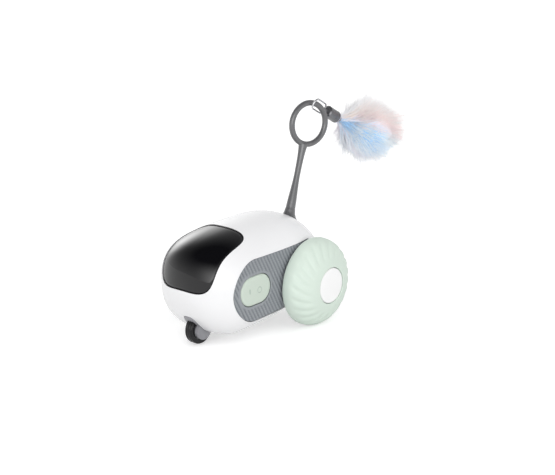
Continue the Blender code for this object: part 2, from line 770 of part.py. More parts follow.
def make_button():
    """Oval push button with the flange that keeps it in its hole."""
    y_centre, z_centre = panel_centre()
    inner = button_hole_x() - FIT_GAP
    outer = PANEL_FACE_X + BUTTON_PROUD
    cap = plate_mesh("power_button", [stadium(BUTTON_LENGTH, BUTTON_HEIGHT)], outer - inner)
    middle = ((inner + outer) / 2, y_centre, z_centre)
    button = add_part("power_button", cap, "mint_button", middle, side_rotation())
    round_edges(button, BUTTON_EDGE)
    length = BUTTON_LENGTH + 2 * BUTTON_FLANGE
    flange = plate_mesh("button_flange", [stadium(length, BUTTON_HEIGHT + 2 * BUTTON_FLANGE)],
                        BUTTON_FLANGE_THICKNESS + FIT_GAP)
    place = (inner - (BUTTON_FLANGE_THICKNESS - FIT_GAP) / 2 - FIT_GAP, y_centre, z_centre)
    combine(button, add_cutter("button_flange", flange, place, side_rotation()), "UNION")


def make_switch():
    """Switch with its plunger, and the small board it sits on."""
    y_centre, z_centre = panel_centre()
    board = box_mesh("switch_board", (BOARD_THICKNESS, SWITCH_BOARD_WIDTH, SWITCH_BOARD_HEIGHT))
    add_part("switch_board", board, "board_green", (switch_board_x(), y_centre, z_centre))
    back = switch_board_x() + BOARD_THICKNESS / 2 + FIT_GAP
    box = box_mesh("button_switch", (SWITCH_THICKNESS, SWITCH_SIZE, SWITCH_SIZE))
    middle = (back + SWITCH_THICKNESS / 2, y_centre, z_centre)
    switch = add_part("button_switch", box, "switch_black", middle)
    mesh = rod_mesh("plunger", PLUNGER_RADIUS, 2 * PLUNGER_LENGTH)
    plunger = add_cutter("plunger", mesh, (back + SWITCH_THICKNESS, y_centre, z_centre), axle_rotation(1))
    combine(switch, plunger, "UNION")


# Wheels and drive

def dome_radius(x, wall):
    """Radius of the wheel's dome at a distance out from its widest plane, inset by a wall."""
    share = min(x / (WHEEL_DOME - wall), 1.0)
    return (WHEEL_RADIUS - wall) * (1.0 - share ** WHEEL_DOME_POWER) ** (1.0 / WHEEL_DOME_POWER)


def dome_depth(radius, wall):
    """Distance out from the widest plane at which the inset dome has this radius."""
    share = radius / (WHEEL_RADIUS - wall)
    return (WHEEL_DOME - wall) * (1.0 - share ** WHEEL_DOME_POWER) ** (1.0 / WHEEL_DOME_POWER)


def dome_points(edge, wall):
    """Dome profile from its hub edge down to the widest plane."""
    depth = dome_depth(edge, wall)
    points = []
    for i in range(DOME_STEPS + 1):
        x = depth * math.sin((1.0 - i / DOME_STEPS) * math.pi / 2)
        points.append((dome_radius(x, wall), WHEEL_PLANE_X + x))
    return points


def tyre_profile():
    """Hollow domed tyre: outer dome, rounded back edge, inner dome."""
    edge = HUB_RADIUS + FIT_GAP
    back = WHEEL_PLANE_X - WHEEL_BACK
    inner = dome_points(edge, TYRE_WALL)
    rim = [(WHEEL_RADIUS - TYRE_BACK_EDGE, back), (WHEEL_RADIUS - TYRE_WALL, back)]
    return dome_points(edge, 0) + rim + inner[::-1]


def core_profile():
    """Wheel body: a back plate that fits the tyre's lip, and a hub that carries the cap."""
    bore = AXLE_RADIUS + FIT_GAP
    back = WHEEL_PLANE_X - WHEEL_BACK + FIT_GAP
    face = HUB_CAP_FACE_X - HUB_CAP_THICKNESS - FIT_GAP
    rim = WHEEL_RADIUS - TYRE_WALL - FIT_GAP
    plate = back + CORE_PLATE
    hub = [(bore, face), (HUB_RADIUS, face), (HUB_RADIUS, plate + CORE_WEB)]
    return hub + [(rim, plate), (rim, back), (bore, back)]


def cap_profile():
    """White hub cap with an eased edge."""
    back = HUB_CAP_FACE_X - HUB_CAP_THICKNESS
    edge = HUB_CAP_EDGE
    eased = [(HUB_RADIUS - 2 * edge, HUB_CAP_FACE_X), (HUB_RADIUS - edge / 2, HUB_CAP_FACE_X - edge / 2),
             (HUB_RADIUS, HUB_CAP_FACE_X - 2 * edge)]
    return [(0, HUB_CAP_FACE_X)] + eased + [(HUB_RADIUS, back), (0, back)]


def ring_profile(inner, outer, low, high):
    """Plain ring between two radii and two heights."""
    return [(inner, high), (outer, high), (outer, low), (inner, low)]


def make_wheels():
    """Tyre, wheel body, hub cap, axle and bush on each side."""
    axle_length = AXLE_OUTER_X - AXLE_INNER_X
    bush = ring_profile(AXLE_RADIUS + FIT_GAP, AXLE_RADIUS + FIT_GAP + BUSH_WALL, BUSH_INNER_X, BUSH_OUTER_X)
    for side, label in ((1, "left"), (-1, "right")):
        place = (0, 0, WHEEL_RADIUS)
        turn = axle_rotation(side)
        turned_part("tyre_" + label, tyre_profile(), WHEEL_SEGMENTS, add_part, "mint", place, turn)
        turned_part("wheel_core_" + label, core_profile(), WHEEL_SEGMENTS, add_part, "hub_white", place, turn)
        turned_part("hub_cap_" + label, cap_profile(), WHEEL_SEGMENTS, add_part, "hub_white", place, turn)
        turned_part("axle_bush_" + label, bush, SHAFT_SEGMENTS, add_part, "brass", place, turn)
        rod = rod_mesh("axle_" + label, AXLE_RADIUS, axle_length)
        middle = side * (AXLE_INNER_X + axle_length / 2)
        add_part("axle_" + label, rod, "steel", (middle, 0, WHEEL_RADIUS), turn)


def gear_outline(teeth, phase):
    """Gear rim with straight-sided teeth, the first centred at the phase angle."""
    pitch = GEAR_MODULE * teeth / 2
    tip = pitch + GEAR_MODULE * TOOTH_ADDENDUM_SHARE
    root = pitch - GEAR_MODULE * TOOTH_DEDENDUM_SHARE
    step = 2 * math.pi / teeth
    points = []
    for i in range(teeth):
        for radius, share in ((root, -TOOTH_ROOT_SHARE), (tip, -TOOTH_TIP_SHARE), (tip, TOOTH_TIP_SHARE),
                              (root, TOOTH_ROOT_SHARE)):
            angle = phase + step * (i + share)
            points.append((radius * math.cos(angle), radius * math.sin(angle)))
    return points


def circle_outline(radius, steps=SHAFT_SEGMENTS):
    """Round outline about the origin."""
    return [(radius * math.cos(2 * math.pi * i / steps), radius * math.sin(2 * math.pi * i / steps))
            for i in range(steps)]


def make_gears():
    """Axle gears and motor pinions, in mesh at rest on the line between their shafts."""
    width = GEAR_OUTER_X - GEAR_INNER_X
    middle = (GEAR_INNER_X + GEAR_OUTER_X) / 2
    offset = -pinion_offset()
    for side, label in ((1, "left"), (-1, "right")):
        place = (side * middle, 0, WHEEL_RADIUS)
        outlines = [gear_outline(GEAR_TEETH, 0), circle_outline(AXLE_RADIUS + FIT_GAP)]
        gear = plate_mesh("drive_gear_" + label, outlines, width)
        add_part("drive_gear_" + label, gear, "gear_plastic", place, side_rotation())
        place = (side * middle, offset, WHEEL_RADIUS)
        rim = gear_outline(PINION_TEETH, math.pi / PINION_TEETH)
        outlines = [rim, circle_outline(MOTOR_SHAFT_RADIUS + FIT_GAP)]
        pinion = plate_mesh("motor_pinion_" + label, outlines, width)
        add_part("motor_pinion_" + label, pinion, "brass", place, side_rotation())


def make_motors():
    """Motor cans with a bored nose, and their shafts."""
    bore = MOTOR_SHAFT_RADIUS + FIT_GAP
    nose = MOTOR_OUTER_X + MOTOR_BOSS_LENGTH
    floor = MOTOR_SHAFT_INNER_X - FIT_GAP
    can = [(bore, nose), (MOTOR_BOSS_RADIUS, nose), (MOTOR_BOSS_RADIUS, MOTOR_OUTER_X),
           (MOTOR_RADIUS - MOTOR_EDGE, MOTOR_OUTER_X), (MOTOR_RADIUS, MOTOR_OUTER_X - MOTOR_EDGE),
           (MOTOR_RADIUS, MOTOR_INNER_X + MOTOR_EDGE), (MOTOR_RADIUS - MOTOR_EDGE, MOTOR_INNER_X),
           (0, MOTOR_INNER_X), (0, floor), (bore, floor)]
    length = GEAR_OUTER_X - MOTOR_SHAFT_INNER_X
    for side, label in ((1, "left"), (-1, "right")):
        place = (0, -pinion_offset(), WHEEL_RADIUS)
        turned_part("motor_" + label, can, SHAFT_SEGMENTS, add_part, "steel", place, axle_rotation(side))
        shaft = rod_mesh("motor_shaft_" + label, MOTOR_SHAFT_RADIUS, length)
        middle = side * (MOTOR_SHAFT_INNER_X + length / 2)
        add_part("motor_shaft_" + label, shaft, "steel", (middle, place[1], place[2]), axle_rotation(side))


# Chassis and electrics

def battery_top():
    """Height of the battery's top face."""
    return CHASSIS_FLOOR_Z + CHASSIS_FLOOR + FIT_GAP + BATTERY_HEIGHT


def battery_centre_y():
    """The battery lies between the board posts, against the front of the chassis."""
    return CHASSIS_FRONT_Y + MAIN_BOARD_LENGTH / 2


def board_post_places():
    """The four posts under the main board's corners."""
    x = CHASSIS_HALF_WIDTH - BOARD_POST_INSET
    reach = MAIN_BOARD_LENGTH / 2 - BOARD_POST_INSET
    return [(side * x, battery_centre_y() + end * reach) for side in (-1, 1) for end in (-1, 1)]


def join_box(item, name, low, high):
    """Unite a box, given by two corners, with a piece."""
    size = [b - a for a, b in zip(low, high)]
    middle = [(a + b) / 2 for a, b in zip(low, high)]
    combine(item, add_cutter(name, box_mesh(name, size), middle), "UNION")


def join_post(item, name, radius, x, y, low, high):
    """Unite an upright post with a piece."""
    mesh = rod_mesh(name, radius, high - low, POST_SEGMENTS)
    combine(item, add_cutter(name, mesh, (x, y, (low + high) / 2)), "UNION")


def make_chassis():
    """Inner frame: a floor, two motor cradles, board posts and screw posts."""
    floor_middle = CHASSIS_FLOOR_Z + CHASSIS_FLOOR / 2
    size = (2 * CHASSIS_HALF_WIDTH, CHASSIS_REAR_Y - CHASSIS_FRONT_Y, CHASSIS_FLOOR)
    middle = (0, (CHASSIS_FRONT_Y + CHASSIS_REAR_Y) / 2, floor_middle)
    chassis = add_part("chassis", box_mesh("chassis", size), "inner_grey", middle)
    front = -pinion_offset() - MOTOR_RADIUS - FIT_GAP - CRADLE_MARGIN
    rear = AXLE_RADIUS + FIT_GAP + CRADLE_MARGIN
    top = WHEEL_RADIUS + MOTOR_RADIUS + FIT_GAP + CRADLE_MARGIN
    for side, label in ((1, "left"), (-1, "right")):
        inner, outer = sorted((side * CRADLE_INNER_X, side * (CRADLE_INNER_X + CRADLE_THICKNESS)))
        join_box(chassis, "cradle_" + label, (inner, front, floor_middle), (outer, rear, top))
    limit = egg_mesh("chassis_limit", WALL + FIT_GAP, LINING_SEGMENTS, LINING_RINGS)
    post_top = battery_top() + FIT_GAP
    for index, (x, y) in enumerate(board_post_places(), 1):
        join_post(chassis, "board_post_%d" % index, BOARD_POST_RADIUS, x, y, floor_middle, post_top)
    for index, (x, y) in enumerate(screw_places(), 1):
        join_post(chassis, "screw_post_%d" % index, SCREW_POST_RADIUS, x, y, BELLY_Z, floor_middle)
        bore = rod_mesh("post_bore_%d" % index, SCREW_RADIUS + FIT_GAP, 2 * SCREW_LENGTH + 2 * FIT_GAP)
        combine(chassis, add_cutter("post_bore_%d" % index, bore, (x, y, screw_seat_z(x, y))), "DIFFERENCE")
    combine(chassis, add_cutter("chassis_limit", limit), "INTERSECT")
    holes = (("motor_seat", MOTOR_RADIUS, -pinion_offset()), ("axle_seat", AXLE_RADIUS, 0))
    for name, radius, y in holes:
        mesh = rod_mesh(name, radius + FIT_GAP, 2 * CHASSIS_HALF_WIDTH)
        combine(chassis, add_cutter(name, mesh, (0, y, WHEEL_RADIUS), axle_rotation(1)), "DIFFERENCE")


def make_electrics():
    """Battery on the chassis floor, and the main board on its posts."""
    size = (2 * BATTERY_HALF_WIDTH, BATTERY_LENGTH, BATTERY_HEIGHT)
    centre = (0, battery_centre_y(), battery_top() - BATTERY_HEIGHT / 2)
    round_edges(add_part("battery", box_mesh("battery", size), "battery_wrap", centre), BATTERY_EDGE)
    size = (2 * CHASSIS_HALF_WIDTH, MAIN_BOARD_LENGTH, BOARD_THICKNESS)
    z = battery_top() + 2 * FIT_GAP + BOARD_THICKNESS / 2
    add_part("main_board", box_mesh("main_board", size), "board_green", (0, battery_centre_y(), z))


def make_charger():
    """Charging socket: a flat steel tube closed at its inner end."""
    outer = stadium(CHARGER_WIDTH, CHARGER_HEIGHT)
    mesh = plate_mesh("charging_socket", [outer], CHARGER_LENGTH)
    y = REAR_Y - CHARGER_SUNK - CHARGER_LENGTH / 2
    socket = add_part("charging_socket", mesh, "steel", (0, y, CHARGER_Z), (math.pi / 2, 0, 0))
    inside = stadium(CHARGER_WIDTH - 2 * CHARGER_WALL, CHARGER_HEIGHT - 2 * CHARGER_WALL)
    hollow = plate_mesh("charger_hollow", [inside], 2 * CHARGER_DEPTH)
    mouth = (0, REAR_Y - CHARGER_SUNK, CHARGER_Z)
    combine(socket, add_cutter("charger_hollow", hollow, mouth, (math.pi / 2, 0, 0)), "DIFFERENCE")


# Front roller

def make_well(outer):
    """Grey lined slot under the nose, with two round cheeks that hold the roller's pin."""
    width = WELL_HALF_WIDTH + WELL_WALL
    outline = rounded_rectangle((-width, WELL_FRONT_Y), (width, WELL_REAR_Y), WELL_CORNER)
    mesh = plate_mesh("roller_well", [outline], WELL_ROOF_Z)
    well = add_part("roller_well", mesh, "well_grey", (0, 0, WELL_ROOF_Z / 2))
    combine(well, outer, "INTERSECT")
    cheeks = rod_mesh("well_cheeks", WELL_CHEEK_RADIUS, 2 * width, ROLLER_SEGMENTS)
    combine(well, add_cutter("well_cheeks", cheeks, (0, ROLLER_Y, ROLLER_RADIUS), axle_rotation(1)), "UNION")
    inside = well_cutter("well_inside", WELL_HALF_WIDTH, -WELL_WALL, WELL_ROOF_Z - WELL_WALL)
    combine(well, inside, "DIFFERENCE")
    reach = WELL_HALF_WIDTH + WELL_PIN_DEPTH
    seat = rod_mesh("pin_seat", ROLLER_PIN_RADIUS + FIT_GAP, 2 * reach)
    combine(well, add_cutter("pin_seat", seat, (0, ROLLER_Y, ROLLER_RADIUS), axle_rotation(1)), "DIFFERENCE")


def roller_profile():
    """Roller tyre with rounded shoulders and two grooves."""
    bore = ROLLER_HUB_RADIUS + FIT_GAP
    shoulder = ROLLER_RADIUS - ROLLER_SHOULDER
    floor = ROLLER_RADIUS - ROLLER_GROOVE
    half = [(shoulder, ROLLER_HALF_WIDTH),
            (ROLLER_RADIUS - ROLLER_SHOULDER / 4, ROLLER_HALF_WIDTH - ROLLER_SHOULDER / 2),
            (ROLLER_RADIUS, ROLLER_GROOVE_X + ROLLER_GROOVE),
            (floor, ROLLER_GROOVE_X),
            (ROLLER_RADIUS, ROLLER_GROOVE_X - ROLLER_GROOVE)]
    other = [(radius, -x) for radius, x in reversed(half)]
    return [(bore, ROLLER_HALF_WIDTH)] + half + other + [(bore, -ROLLER_HALF_WIDTH)]


def make_roller():
    """Roller tyre, its hub and its pin."""
    place = (0, ROLLER_Y, ROLLER_RADIUS)
    turn = axle_rotation(1)
    turned_part("front_tyre", roller_profile(), ROLLER_SEGMENTS, add_part, "tyre_black", place, turn)
    half = ROLLER_HALF_WIDTH - ROLLER_HUB_INSET
    hub = ring_profile(ROLLER_PIN_RADIUS + FIT_GAP, ROLLER_HUB_RADIUS, -half, half)
    turned_part("front_hub", hub, ROLLER_SEGMENTS, add_part, "well_grey", place, turn)
    reach = WELL_HALF_WIDTH + WELL_PIN_DEPTH - FIT_GAP
    add_part("roller_pin", rod_mesh("roller_pin", ROLLER_PIN_RADIUS, 2 * reach), "steel", place, turn)


# Tail

def ring_axes():
    """The tail ring's normal and its level in-plane axis."""
    turn = TAIL_RING_TURN
    return Vector((math.cos(turn), -math.sin(turn), 0)), Vector((math.sin(turn), math.cos(turn), 0))


def ring_centre():
    """Centre of the tail's ring."""
    return Vector((0, TAIL_RING_Y, TAIL_RING_Z))


def ring_foot():
    """Point of the ring's centre line that is nearest the hinge."""
    normal, _ = ring_axes()
    toward = tail_hinge() - ring_centre()
    toward -= normal * toward.dot(normal)
    return ring_centre() + toward.normalized() * TAIL_RING_RADIUS


def rod_radius(share):
    """Rod radius along its length: it tapers from the base and swells into the ring's neck."""
    taper = TAIL_BASE_RADIUS + (TAIL_WAIST_RADIUS - TAIL_BASE_RADIUS) * min(2 * share, 1.0)
    return taper + (TAIL_NECK_RADIUS - TAIL_WAIST_RADIUS) * share ** TAIL_SWELL_POWER


def make_tail():
    """Soft tail: a root ball, a tapering rod and the ring."""
    normal, level = ring_axes()
    hinge = tail_hinge()
    foot = ring_foot() - hinge
    shares = [i / (TAIL_ROD_STEPS - 1) for i in range(TAIL_ROD_STEPS)]
    radii = [rod_radius(share) for share in shares]
    rod = wire_mesh("tail", [foot * share for share in shares], radii, False)
    tail = add_part("tail", rod, "tail_grey", hinge)
    combine(tail, add_cutter("tail_ball", ball_mesh("tail_ball", TAIL_BALL_RADIUS), hinge), "UNION")
    points = []
    for i in range(TAIL_RING_STEPS):
        angle = 2 * math.pi * i / TAIL_RING_STEPS
        points.append((level * math.cos(angle) + Vector((0, 0, math.sin(angle)))) * TAIL_RING_RADIUS)
    ring = wire_mesh("tail_ring", points, [TAIL_TUBE_RADIUS] * TAIL_RING_STEPS, True)
    combine(tail, add_cutter("tail_ring", ring, ring_centre()), "UNION")


def socket_profile():
    """Flared socket outline below the hinge, wide enough to reach the shell all round."""
    rim = TAIL_BALL_RADIUS + FIT_GAP + SOCKET_RIM
    points = [(0, 0)]
    for i in range(SOCKET_STEPS + 1):
        share = i / SOCKET_STEPS
        points.append((rim + SOCKET_FLARE * share ** SOCKET_FLARE_POWER, -SOCKET_FLARE_DEPTH * share))
    return points + [(0, -SOCKET_FLARE_DEPTH)]


def make_socket():
    """Flared collar that stands on the shell, with a plug through it and a cup for the tail's root."""
    hinge = tail_hinge()
    lean = tail_rotation()
    socket = turned_part("tail_socket", socket_profile(), TURNED_SEGMENTS, add_part, "tail_grey", hinge, lean)
    skin = add_cutter("shell_skin", egg_mesh("shell_skin", -FIT_GAP, EGG_SEGMENTS, EGG_RINGS))
    combine(socket, skin, "DIFFERENCE")
    length = SOCKET_PLUG_LENGTH - TAIL_BALL_RADIUS
    plug = rod_mesh("socket_plug", SOCKET_PLUG_RADIUS, length)
    plug_place = below_hinge(TAIL_BALL_RADIUS + length / 2)
    combine(socket, add_cutter("socket_plug", plug, plug_place, lean), "UNION")
    cup = ball_mesh("socket_cup", TAIL_BALL_RADIUS + FIT_GAP)
    combine(socket, add_cutter("socket_cup", cup, hinge, lean), "DIFFERENCE")


# Wire loop, ferrule and tuft

def loop_axes():
    """The wire loop's long axis, width axis and the ferrule's direction."""
    along = Vector((0, math.cos(FERRULE_DROP), -math.sin(FERRULE_DROP)))
    rise = Vector((0, math.sin(FERRULE_DROP), math.cos(FERRULE_DROP)))
    wide = rise * math.cos(LOOP_ROLL) + Vector((1, 0, 0)) * math.sin(LOOP_ROLL)
    long_axis = along * math.cos(LOOP_SLANT) - along.cross(wide) * math.sin(LOOP_SLANT)
    return long_axis, wide, along


def loop_centre():
    """Centre of the wire loop, on the centre line of the ring's tube."""
    _, level = ring_axes()
    outward = level * math.sin(LOOP_STATION) + Vector((0, 0, math.cos(LOOP_STATION)))
    return ring_centre() + outward * TAIL_RING_RADIUS


def loop_end():
    """Middle of the loop's far end, which is the ferrule's pivot."""
    long_axis, _, _ = loop_axes()
    return loop_centre() + long_axis * LOOP_HALF_LENGTH


def make_loop():
    """Oval loop of round wire through the tail's ring."""
    long_axis, wide, _ = loop_axes()
    reach = LOOP_HALF_LENGTH - LOOP_HALF_WIDTH
    points = []
    for side in (1, -1):
        for i in range(LOOP_ARC_STEPS + 1):
            angle = (i / LOOP_ARC_STEPS - 0.5) * math.pi
            along = side * (reach + LOOP_HALF_WIDTH * math.cos(angle))
            points.append(long_axis * along + wide * (side * LOOP_HALF_WIDTH * math.sin(angle)))
    mesh = wire_mesh("wire_loop", points, [LOOP_WIRE_RADIUS] * len(points), True)
    add_part("wire_loop", mesh, "wire", loop_centre())


def make_ferrule():
    """Crimped cylinder with a bore for the tuft and a lug round the loop's wire."""
    _, wide, along = loop_axes()
    rotation = frame_rotation(wide.cross(along), wide, along)
    bore = TUFT_ROOT_RADIUS + FIT_GAP
    floor = FERRULE_END - FERRULE_BORE_DEPTH
    edge = FERRULE_EDGE
    profile = [(bore, FERRULE_END),
               (FERRULE_RADIUS - edge / 2, FERRULE_END),
               (FERRULE_RADIUS, FERRULE_END - edge),
               (FERRULE_RADIUS, FERRULE_START + edge),
               (FERRULE_RADIUS - edge, FERRULE_START),
               (0, FERRULE_START),
               (0, floor),
               (bore, floor)]
    pivot = loop_end()
    ferrule = turned_part("ferrule", profile, TURNED_SEGMENTS, add_part, "ferrule_grey", pivot, rotation)
    radius = LOOP_WIRE_RADIUS + FIT_GAP + LUG_WALL
    reach = FERRULE_START + edge
    neck = box_mesh("lug_neck", (2 * radius, LUG_THICKNESS, reach))
    combine(ferrule, add_cutter("lug_neck", neck, pivot + along * (reach / 2), rotation), "UNION")
    across = frame_rotation(along, wide.cross(along), wide)
    eye = add_cutter("lug_eye", rod_mesh("lug_eye", radius, LUG_THICKNESS), pivot, across)
    combine(ferrule, eye, "UNION")
    hole = rod_mesh("lug_hole", LOOP_WIRE_RADIUS + FIT_GAP, 2 * LUG_THICKNESS)
    combine(ferrule, add_cutter("lug_hole", hole, pivot, across), "DIFFERENCE")


def tuft_profile():
    """Plain rounded outline of the tuft along its own axis."""
    points = []
    for i in range(TUFT_STEPS + 1):
        angle = i / TUFT_STEPS * math.pi
        share = abs(math.cos(angle)) ** TUFT_POWER
        radius = TUFT_RADIUS * max(1.0 - share, 0.0) ** (1.0 / TUFT_POWER)
        points.append((radius, TUFT_LENGTH * (1.0 + math.cos(angle)) / 2))
    points[0] = (0, TUFT_LENGTH)
    points[-1] = (0, 0)
    return points


def make_tuft():
    """Plain closed form of the fluffy tuft, with its root in the ferrule's bore."""
    _, wide, along = loop_axes()
    start = loop_end() + along * (FERRULE_END + FIT_GAP)
    drop = Euler((-math.pi / 2 - TUFT_DROP, 0, -TUFT_TURN))
    place = start + along * TUFT_ROOT_OUT
    tuft = turned_part("tuft", tuft_profile(), TUFT_SEGMENTS, add_part, "tuft", place, drop)
    inside = FERRULE_BORE_DEPTH - FIT_GAP
    length = inside + TUFT_ROOT_OUT + 2 * TUFT_ROOT_RADIUS
    root = rod_mesh("tuft_root", TUFT_ROOT_RADIUS, length)
    place = loop_end() + along * (FERRULE_END - inside + length / 2)
    turn = frame_rotation(wide.cross(along), wide, along)
    combine(tuft, add_cutter("tuft_root", root, place, turn), "UNION")


def main():
    """Build every piece."""
    clear_scene()
    make_groups()
    make_materials()
    outer = add_cutter("egg_outer", egg_mesh("egg_outer", 0, EGG_SEGMENTS, EGG_RINGS))
    lining = add_cutter("egg_lining", egg_mesh("egg_lining", WALL, LINING_SEGMENTS, LINING_RINGS))
    make_shell(lining)
    make_cover(lining)
    make_screws()
    make_visor()
    make_panels(outer)
    make_button()
    make_switch()
    make_wheels()
    make_gears()
    make_motors()
    make_chassis()
    make_electrics()
    make_charger()
    make_well(outer)
    make_roller()
    make_tail()
    make_socket()
    make_loop()
    make_ferrule()
    make_tuft()
    bpy.context.view_layer.update()


main()
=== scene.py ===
"""Interactive mouse cat toy, dressed for rendering over its CAD frame.

Metres, +Z up. The nose points to -Y and the toy's left side to +X. The body's sizes are measured
from the line under the rear axle, and AXLE_Y carries that line to its place in the frame.
"""
import json
import math
import random

import bmesh
import bpy
from mathutils import Euler, Matrix, Vector, noise


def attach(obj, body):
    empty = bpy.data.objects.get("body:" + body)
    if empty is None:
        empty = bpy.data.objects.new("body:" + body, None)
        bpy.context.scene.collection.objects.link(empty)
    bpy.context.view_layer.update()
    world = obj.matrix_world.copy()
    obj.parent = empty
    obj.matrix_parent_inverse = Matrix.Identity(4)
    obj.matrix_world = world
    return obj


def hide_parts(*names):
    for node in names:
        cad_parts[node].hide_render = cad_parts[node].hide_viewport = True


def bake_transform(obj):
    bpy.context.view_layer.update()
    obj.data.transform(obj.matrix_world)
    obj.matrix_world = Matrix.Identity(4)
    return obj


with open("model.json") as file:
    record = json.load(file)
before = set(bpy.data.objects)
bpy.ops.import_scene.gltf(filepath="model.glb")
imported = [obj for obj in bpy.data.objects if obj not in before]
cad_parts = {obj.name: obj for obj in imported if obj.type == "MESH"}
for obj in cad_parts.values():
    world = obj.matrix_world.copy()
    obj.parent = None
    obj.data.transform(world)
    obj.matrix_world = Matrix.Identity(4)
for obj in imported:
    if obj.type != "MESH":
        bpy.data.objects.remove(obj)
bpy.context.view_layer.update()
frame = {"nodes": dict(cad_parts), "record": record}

# Frame and view
AXLE_Y = -0.0138
CAMERA_AIM = (0.01001, -0.02082, 0.04664)
CAMERA_AZIMUTH = math.radians(40.89)
CAMERA_ELEVATION = math.radians(16.58)
CAMERA_ROLL = math.radians(-0.93)
CAMERA_DISTANCE = 0.60627
CAMERA_LENS = 72.95
CAMERA_SENSOR = 36.0

# Fits and mesh fineness
FIT_GAP = 0.0003
CUT_OVERRUN = 0.0100
SMOOTH_ANGLE = math.radians(35)
EGG_SEGMENTS = 144
EGG_RINGS = 96

# Body egg: its outline is four power curves that meet at its widest, highest and lowest stations
NOSE_Y = -0.0717
REAR_Y = 0.0208
WIDEST_Y = -0.0444
HIGHEST_Y = -0.0146
LOWEST_Y = -0.0523
BODY_HALF_WIDTH = 0.0298
BODY_TOP_Z = 0.0597
BODY_LOW_Z = 0.0056
BELLY_Z = 0.0068
NOSE_Z = 0.0320
REAR_Z = 0.0339
WIDTH_NOSE_POWER = 2.15
WIDTH_REAR_POWER = 3.6
TOP_NOSE_POWER = 3.4
TOP_REAR_POWER = 2.2
LOW_NOSE_POWER = 1.67
LOW_REAR_POWER = 2.7
UPPER_SECTION_POWER = 2.14
LOWER_SECTION_POWER = 2.93
WALL = 0.0020
SURFACE_TOLERANCE = 0.00003
FACING_SHARE = 0.90
SLOPE_STEP = 0.00002

# Side panels and their ribs
PANEL_FACE_X = 0.0258
PANEL_THICKNESS = 0.0024
PANEL_LOW_Z = 0.0135
PANEL_TOP_Z = 0.0463
PANEL_FRONT_Y = -0.0592
PANEL_ARC_STEPS = 48
PANEL_SKIN = 0.00006
PANEL_ROUGH = 0.42
PANEL_GRAIN = 0.000012
RIDGE_GREY = (0.295, 0.312, 0.336)
# Painted shade: the panel's colour on the floors of its grooves, darker than on its ridges
GROOVE_SHADE_GREY = (0.190, 0.204, 0.224)
RIB_PITCH = 0.0021
RIB_LEAN = math.radians(28.3)
RIB_DEPTH = 0.00045
RIB_POWER = 1.6
RIB_TOP_SHARE = 0.15
RIB_ACROSS_STEP = 0.00025
RIB_ALONG_STEP = 0.0006
RIB_BORDER = 0.0014
RIB_FADE = 0.0004

# Power button
BUTTON_LENGTH = 0.0227
BUTTON_HEIGHT = 0.0155
BUTTON_PROUD = 0.0006
BUTTON_DEPTH = 0.0028
BUTTON_EDGE = 0.0009
BUTTON_CROWN = 0.0003
BUTTON_RINGS = 16
BUTTON_EDGE_STEPS = 6
BUTTON_MARK_PROUD = 0.00008
BAR_MARK = (-0.0478, 0.0303)
BAR_MARK_HALF = (0.00045, 0.0013)
BAR_MARK_CORNER_SHARE = 0.9
RING_MARK = (-0.0406, 0.0296)
RING_MARK_RADIUS = 0.0015
RING_MARK_WIDTH = 0.00028
RING_MARK_SIDES = 12

# Visor
VISOR_TILT = math.radians(52.4)
VISOR_HALF_WIDTH = 0.0189
VISOR_HALF_HEIGHT = 0.0205
VISOR_CENTRE = 0.0022
VISOR_CORNER_POWER = 3.85
VISOR_BACK = 0.0540
VISOR_FRONT = 0.1000
VISOR_INSET = 0.0004
VISOR_WALL = 0.0016
VISOR_EDGE = 0.0011
VISOR_STEPS = 160
VISOR_RINGS = 40
VISOR_EDGE_RINGS = 6
VISOR_LEAST_SHARE = 0.001
VISOR_SEARCH_STEPS = 40

# Rear wheels
WHEEL_RADIUS = 0.0240
WHEEL_PLANE_X = 0.0284
WHEEL_DOME = 0.0140
WHEEL_DOME_POWER = 2.39
WHEEL_BACK = 0.0012
TYRE_WALL = 0.0024
TYRE_LIP = 0.0005
TYRE_BACK_EASE = 0.0002
TYRE_BACK_DROP = 0.0007
TYRE_INNER_STEPS = 12
HUB_RADIUS = 0.0096
HUB_CAP_FACE_X = 0.0418
HUB_CAP_THICKNESS = 0.0016
HUB_CAP_EDGE = 0.0006
HUB_CAP_CROWN = 0.0004
HUB_CAP_RINGS = 12
HUB_CAP_EDGE_STEPS = 6
HUB_CAP_SEGMENTS = 96
DOME_STEPS = 56
SWIRL_RIDGES = 22
SWIRL_STEPS = 14
SWIRL_START = 0.55
SWIRL_FULL = 0.80
SWIRL_FADE = 0.93
SWIRL_TURN = math.radians(19)
SWIRL_SHARPNESS = 1.7
SWIRL_DEPTH = 0.00048
SWIRL_POWER = 1.7

# Front roller and its well
ROLLER_Y = -0.0595
ROLLER_RADIUS = 0.0079
ROLLER_HALF_WIDTH = 0.0024
ROLLER_HUB_RADIUS = 0.0050
ROLLER_SHOULDER = 0.0009
ROLLER_GROOVE_X = 0.0009
ROLLER_GROOVE = 0.0005
ROLLER_PIN_RADIUS = 0.0008
ROLLER_SEGMENTS = 96
ROLLER_HALF_STEPS = 24
BOSS_FLAT = 0.0008
BOSS_FOOT = 0.0012
DISH_DEPTH = 0.0005
DISH_RIM = 0.0010
HUB_FACE_RIM = 0.0006
HUB_RIM_EASE = 0.0001
HUB_RIM_DROP = 0.0002
WELL_HALF_WIDTH = 0.0029
WELL_WALL = 0.0016
WELL_FRONT_Y = -0.0665
WELL_REAR_Y = -0.0492
WELL_CORNER = 0.0030
WELL_ROOF_Z = 0.0180
WELL_CHEEK_RADIUS = 0.0051
WELL_LIP = 0.0003
WELL_BEVEL_SHARE = 0.8
WELL_BEVEL_ANGLE = SMOOTH_ANGLE * 1.5
BEVEL_SEGMENTS = 3

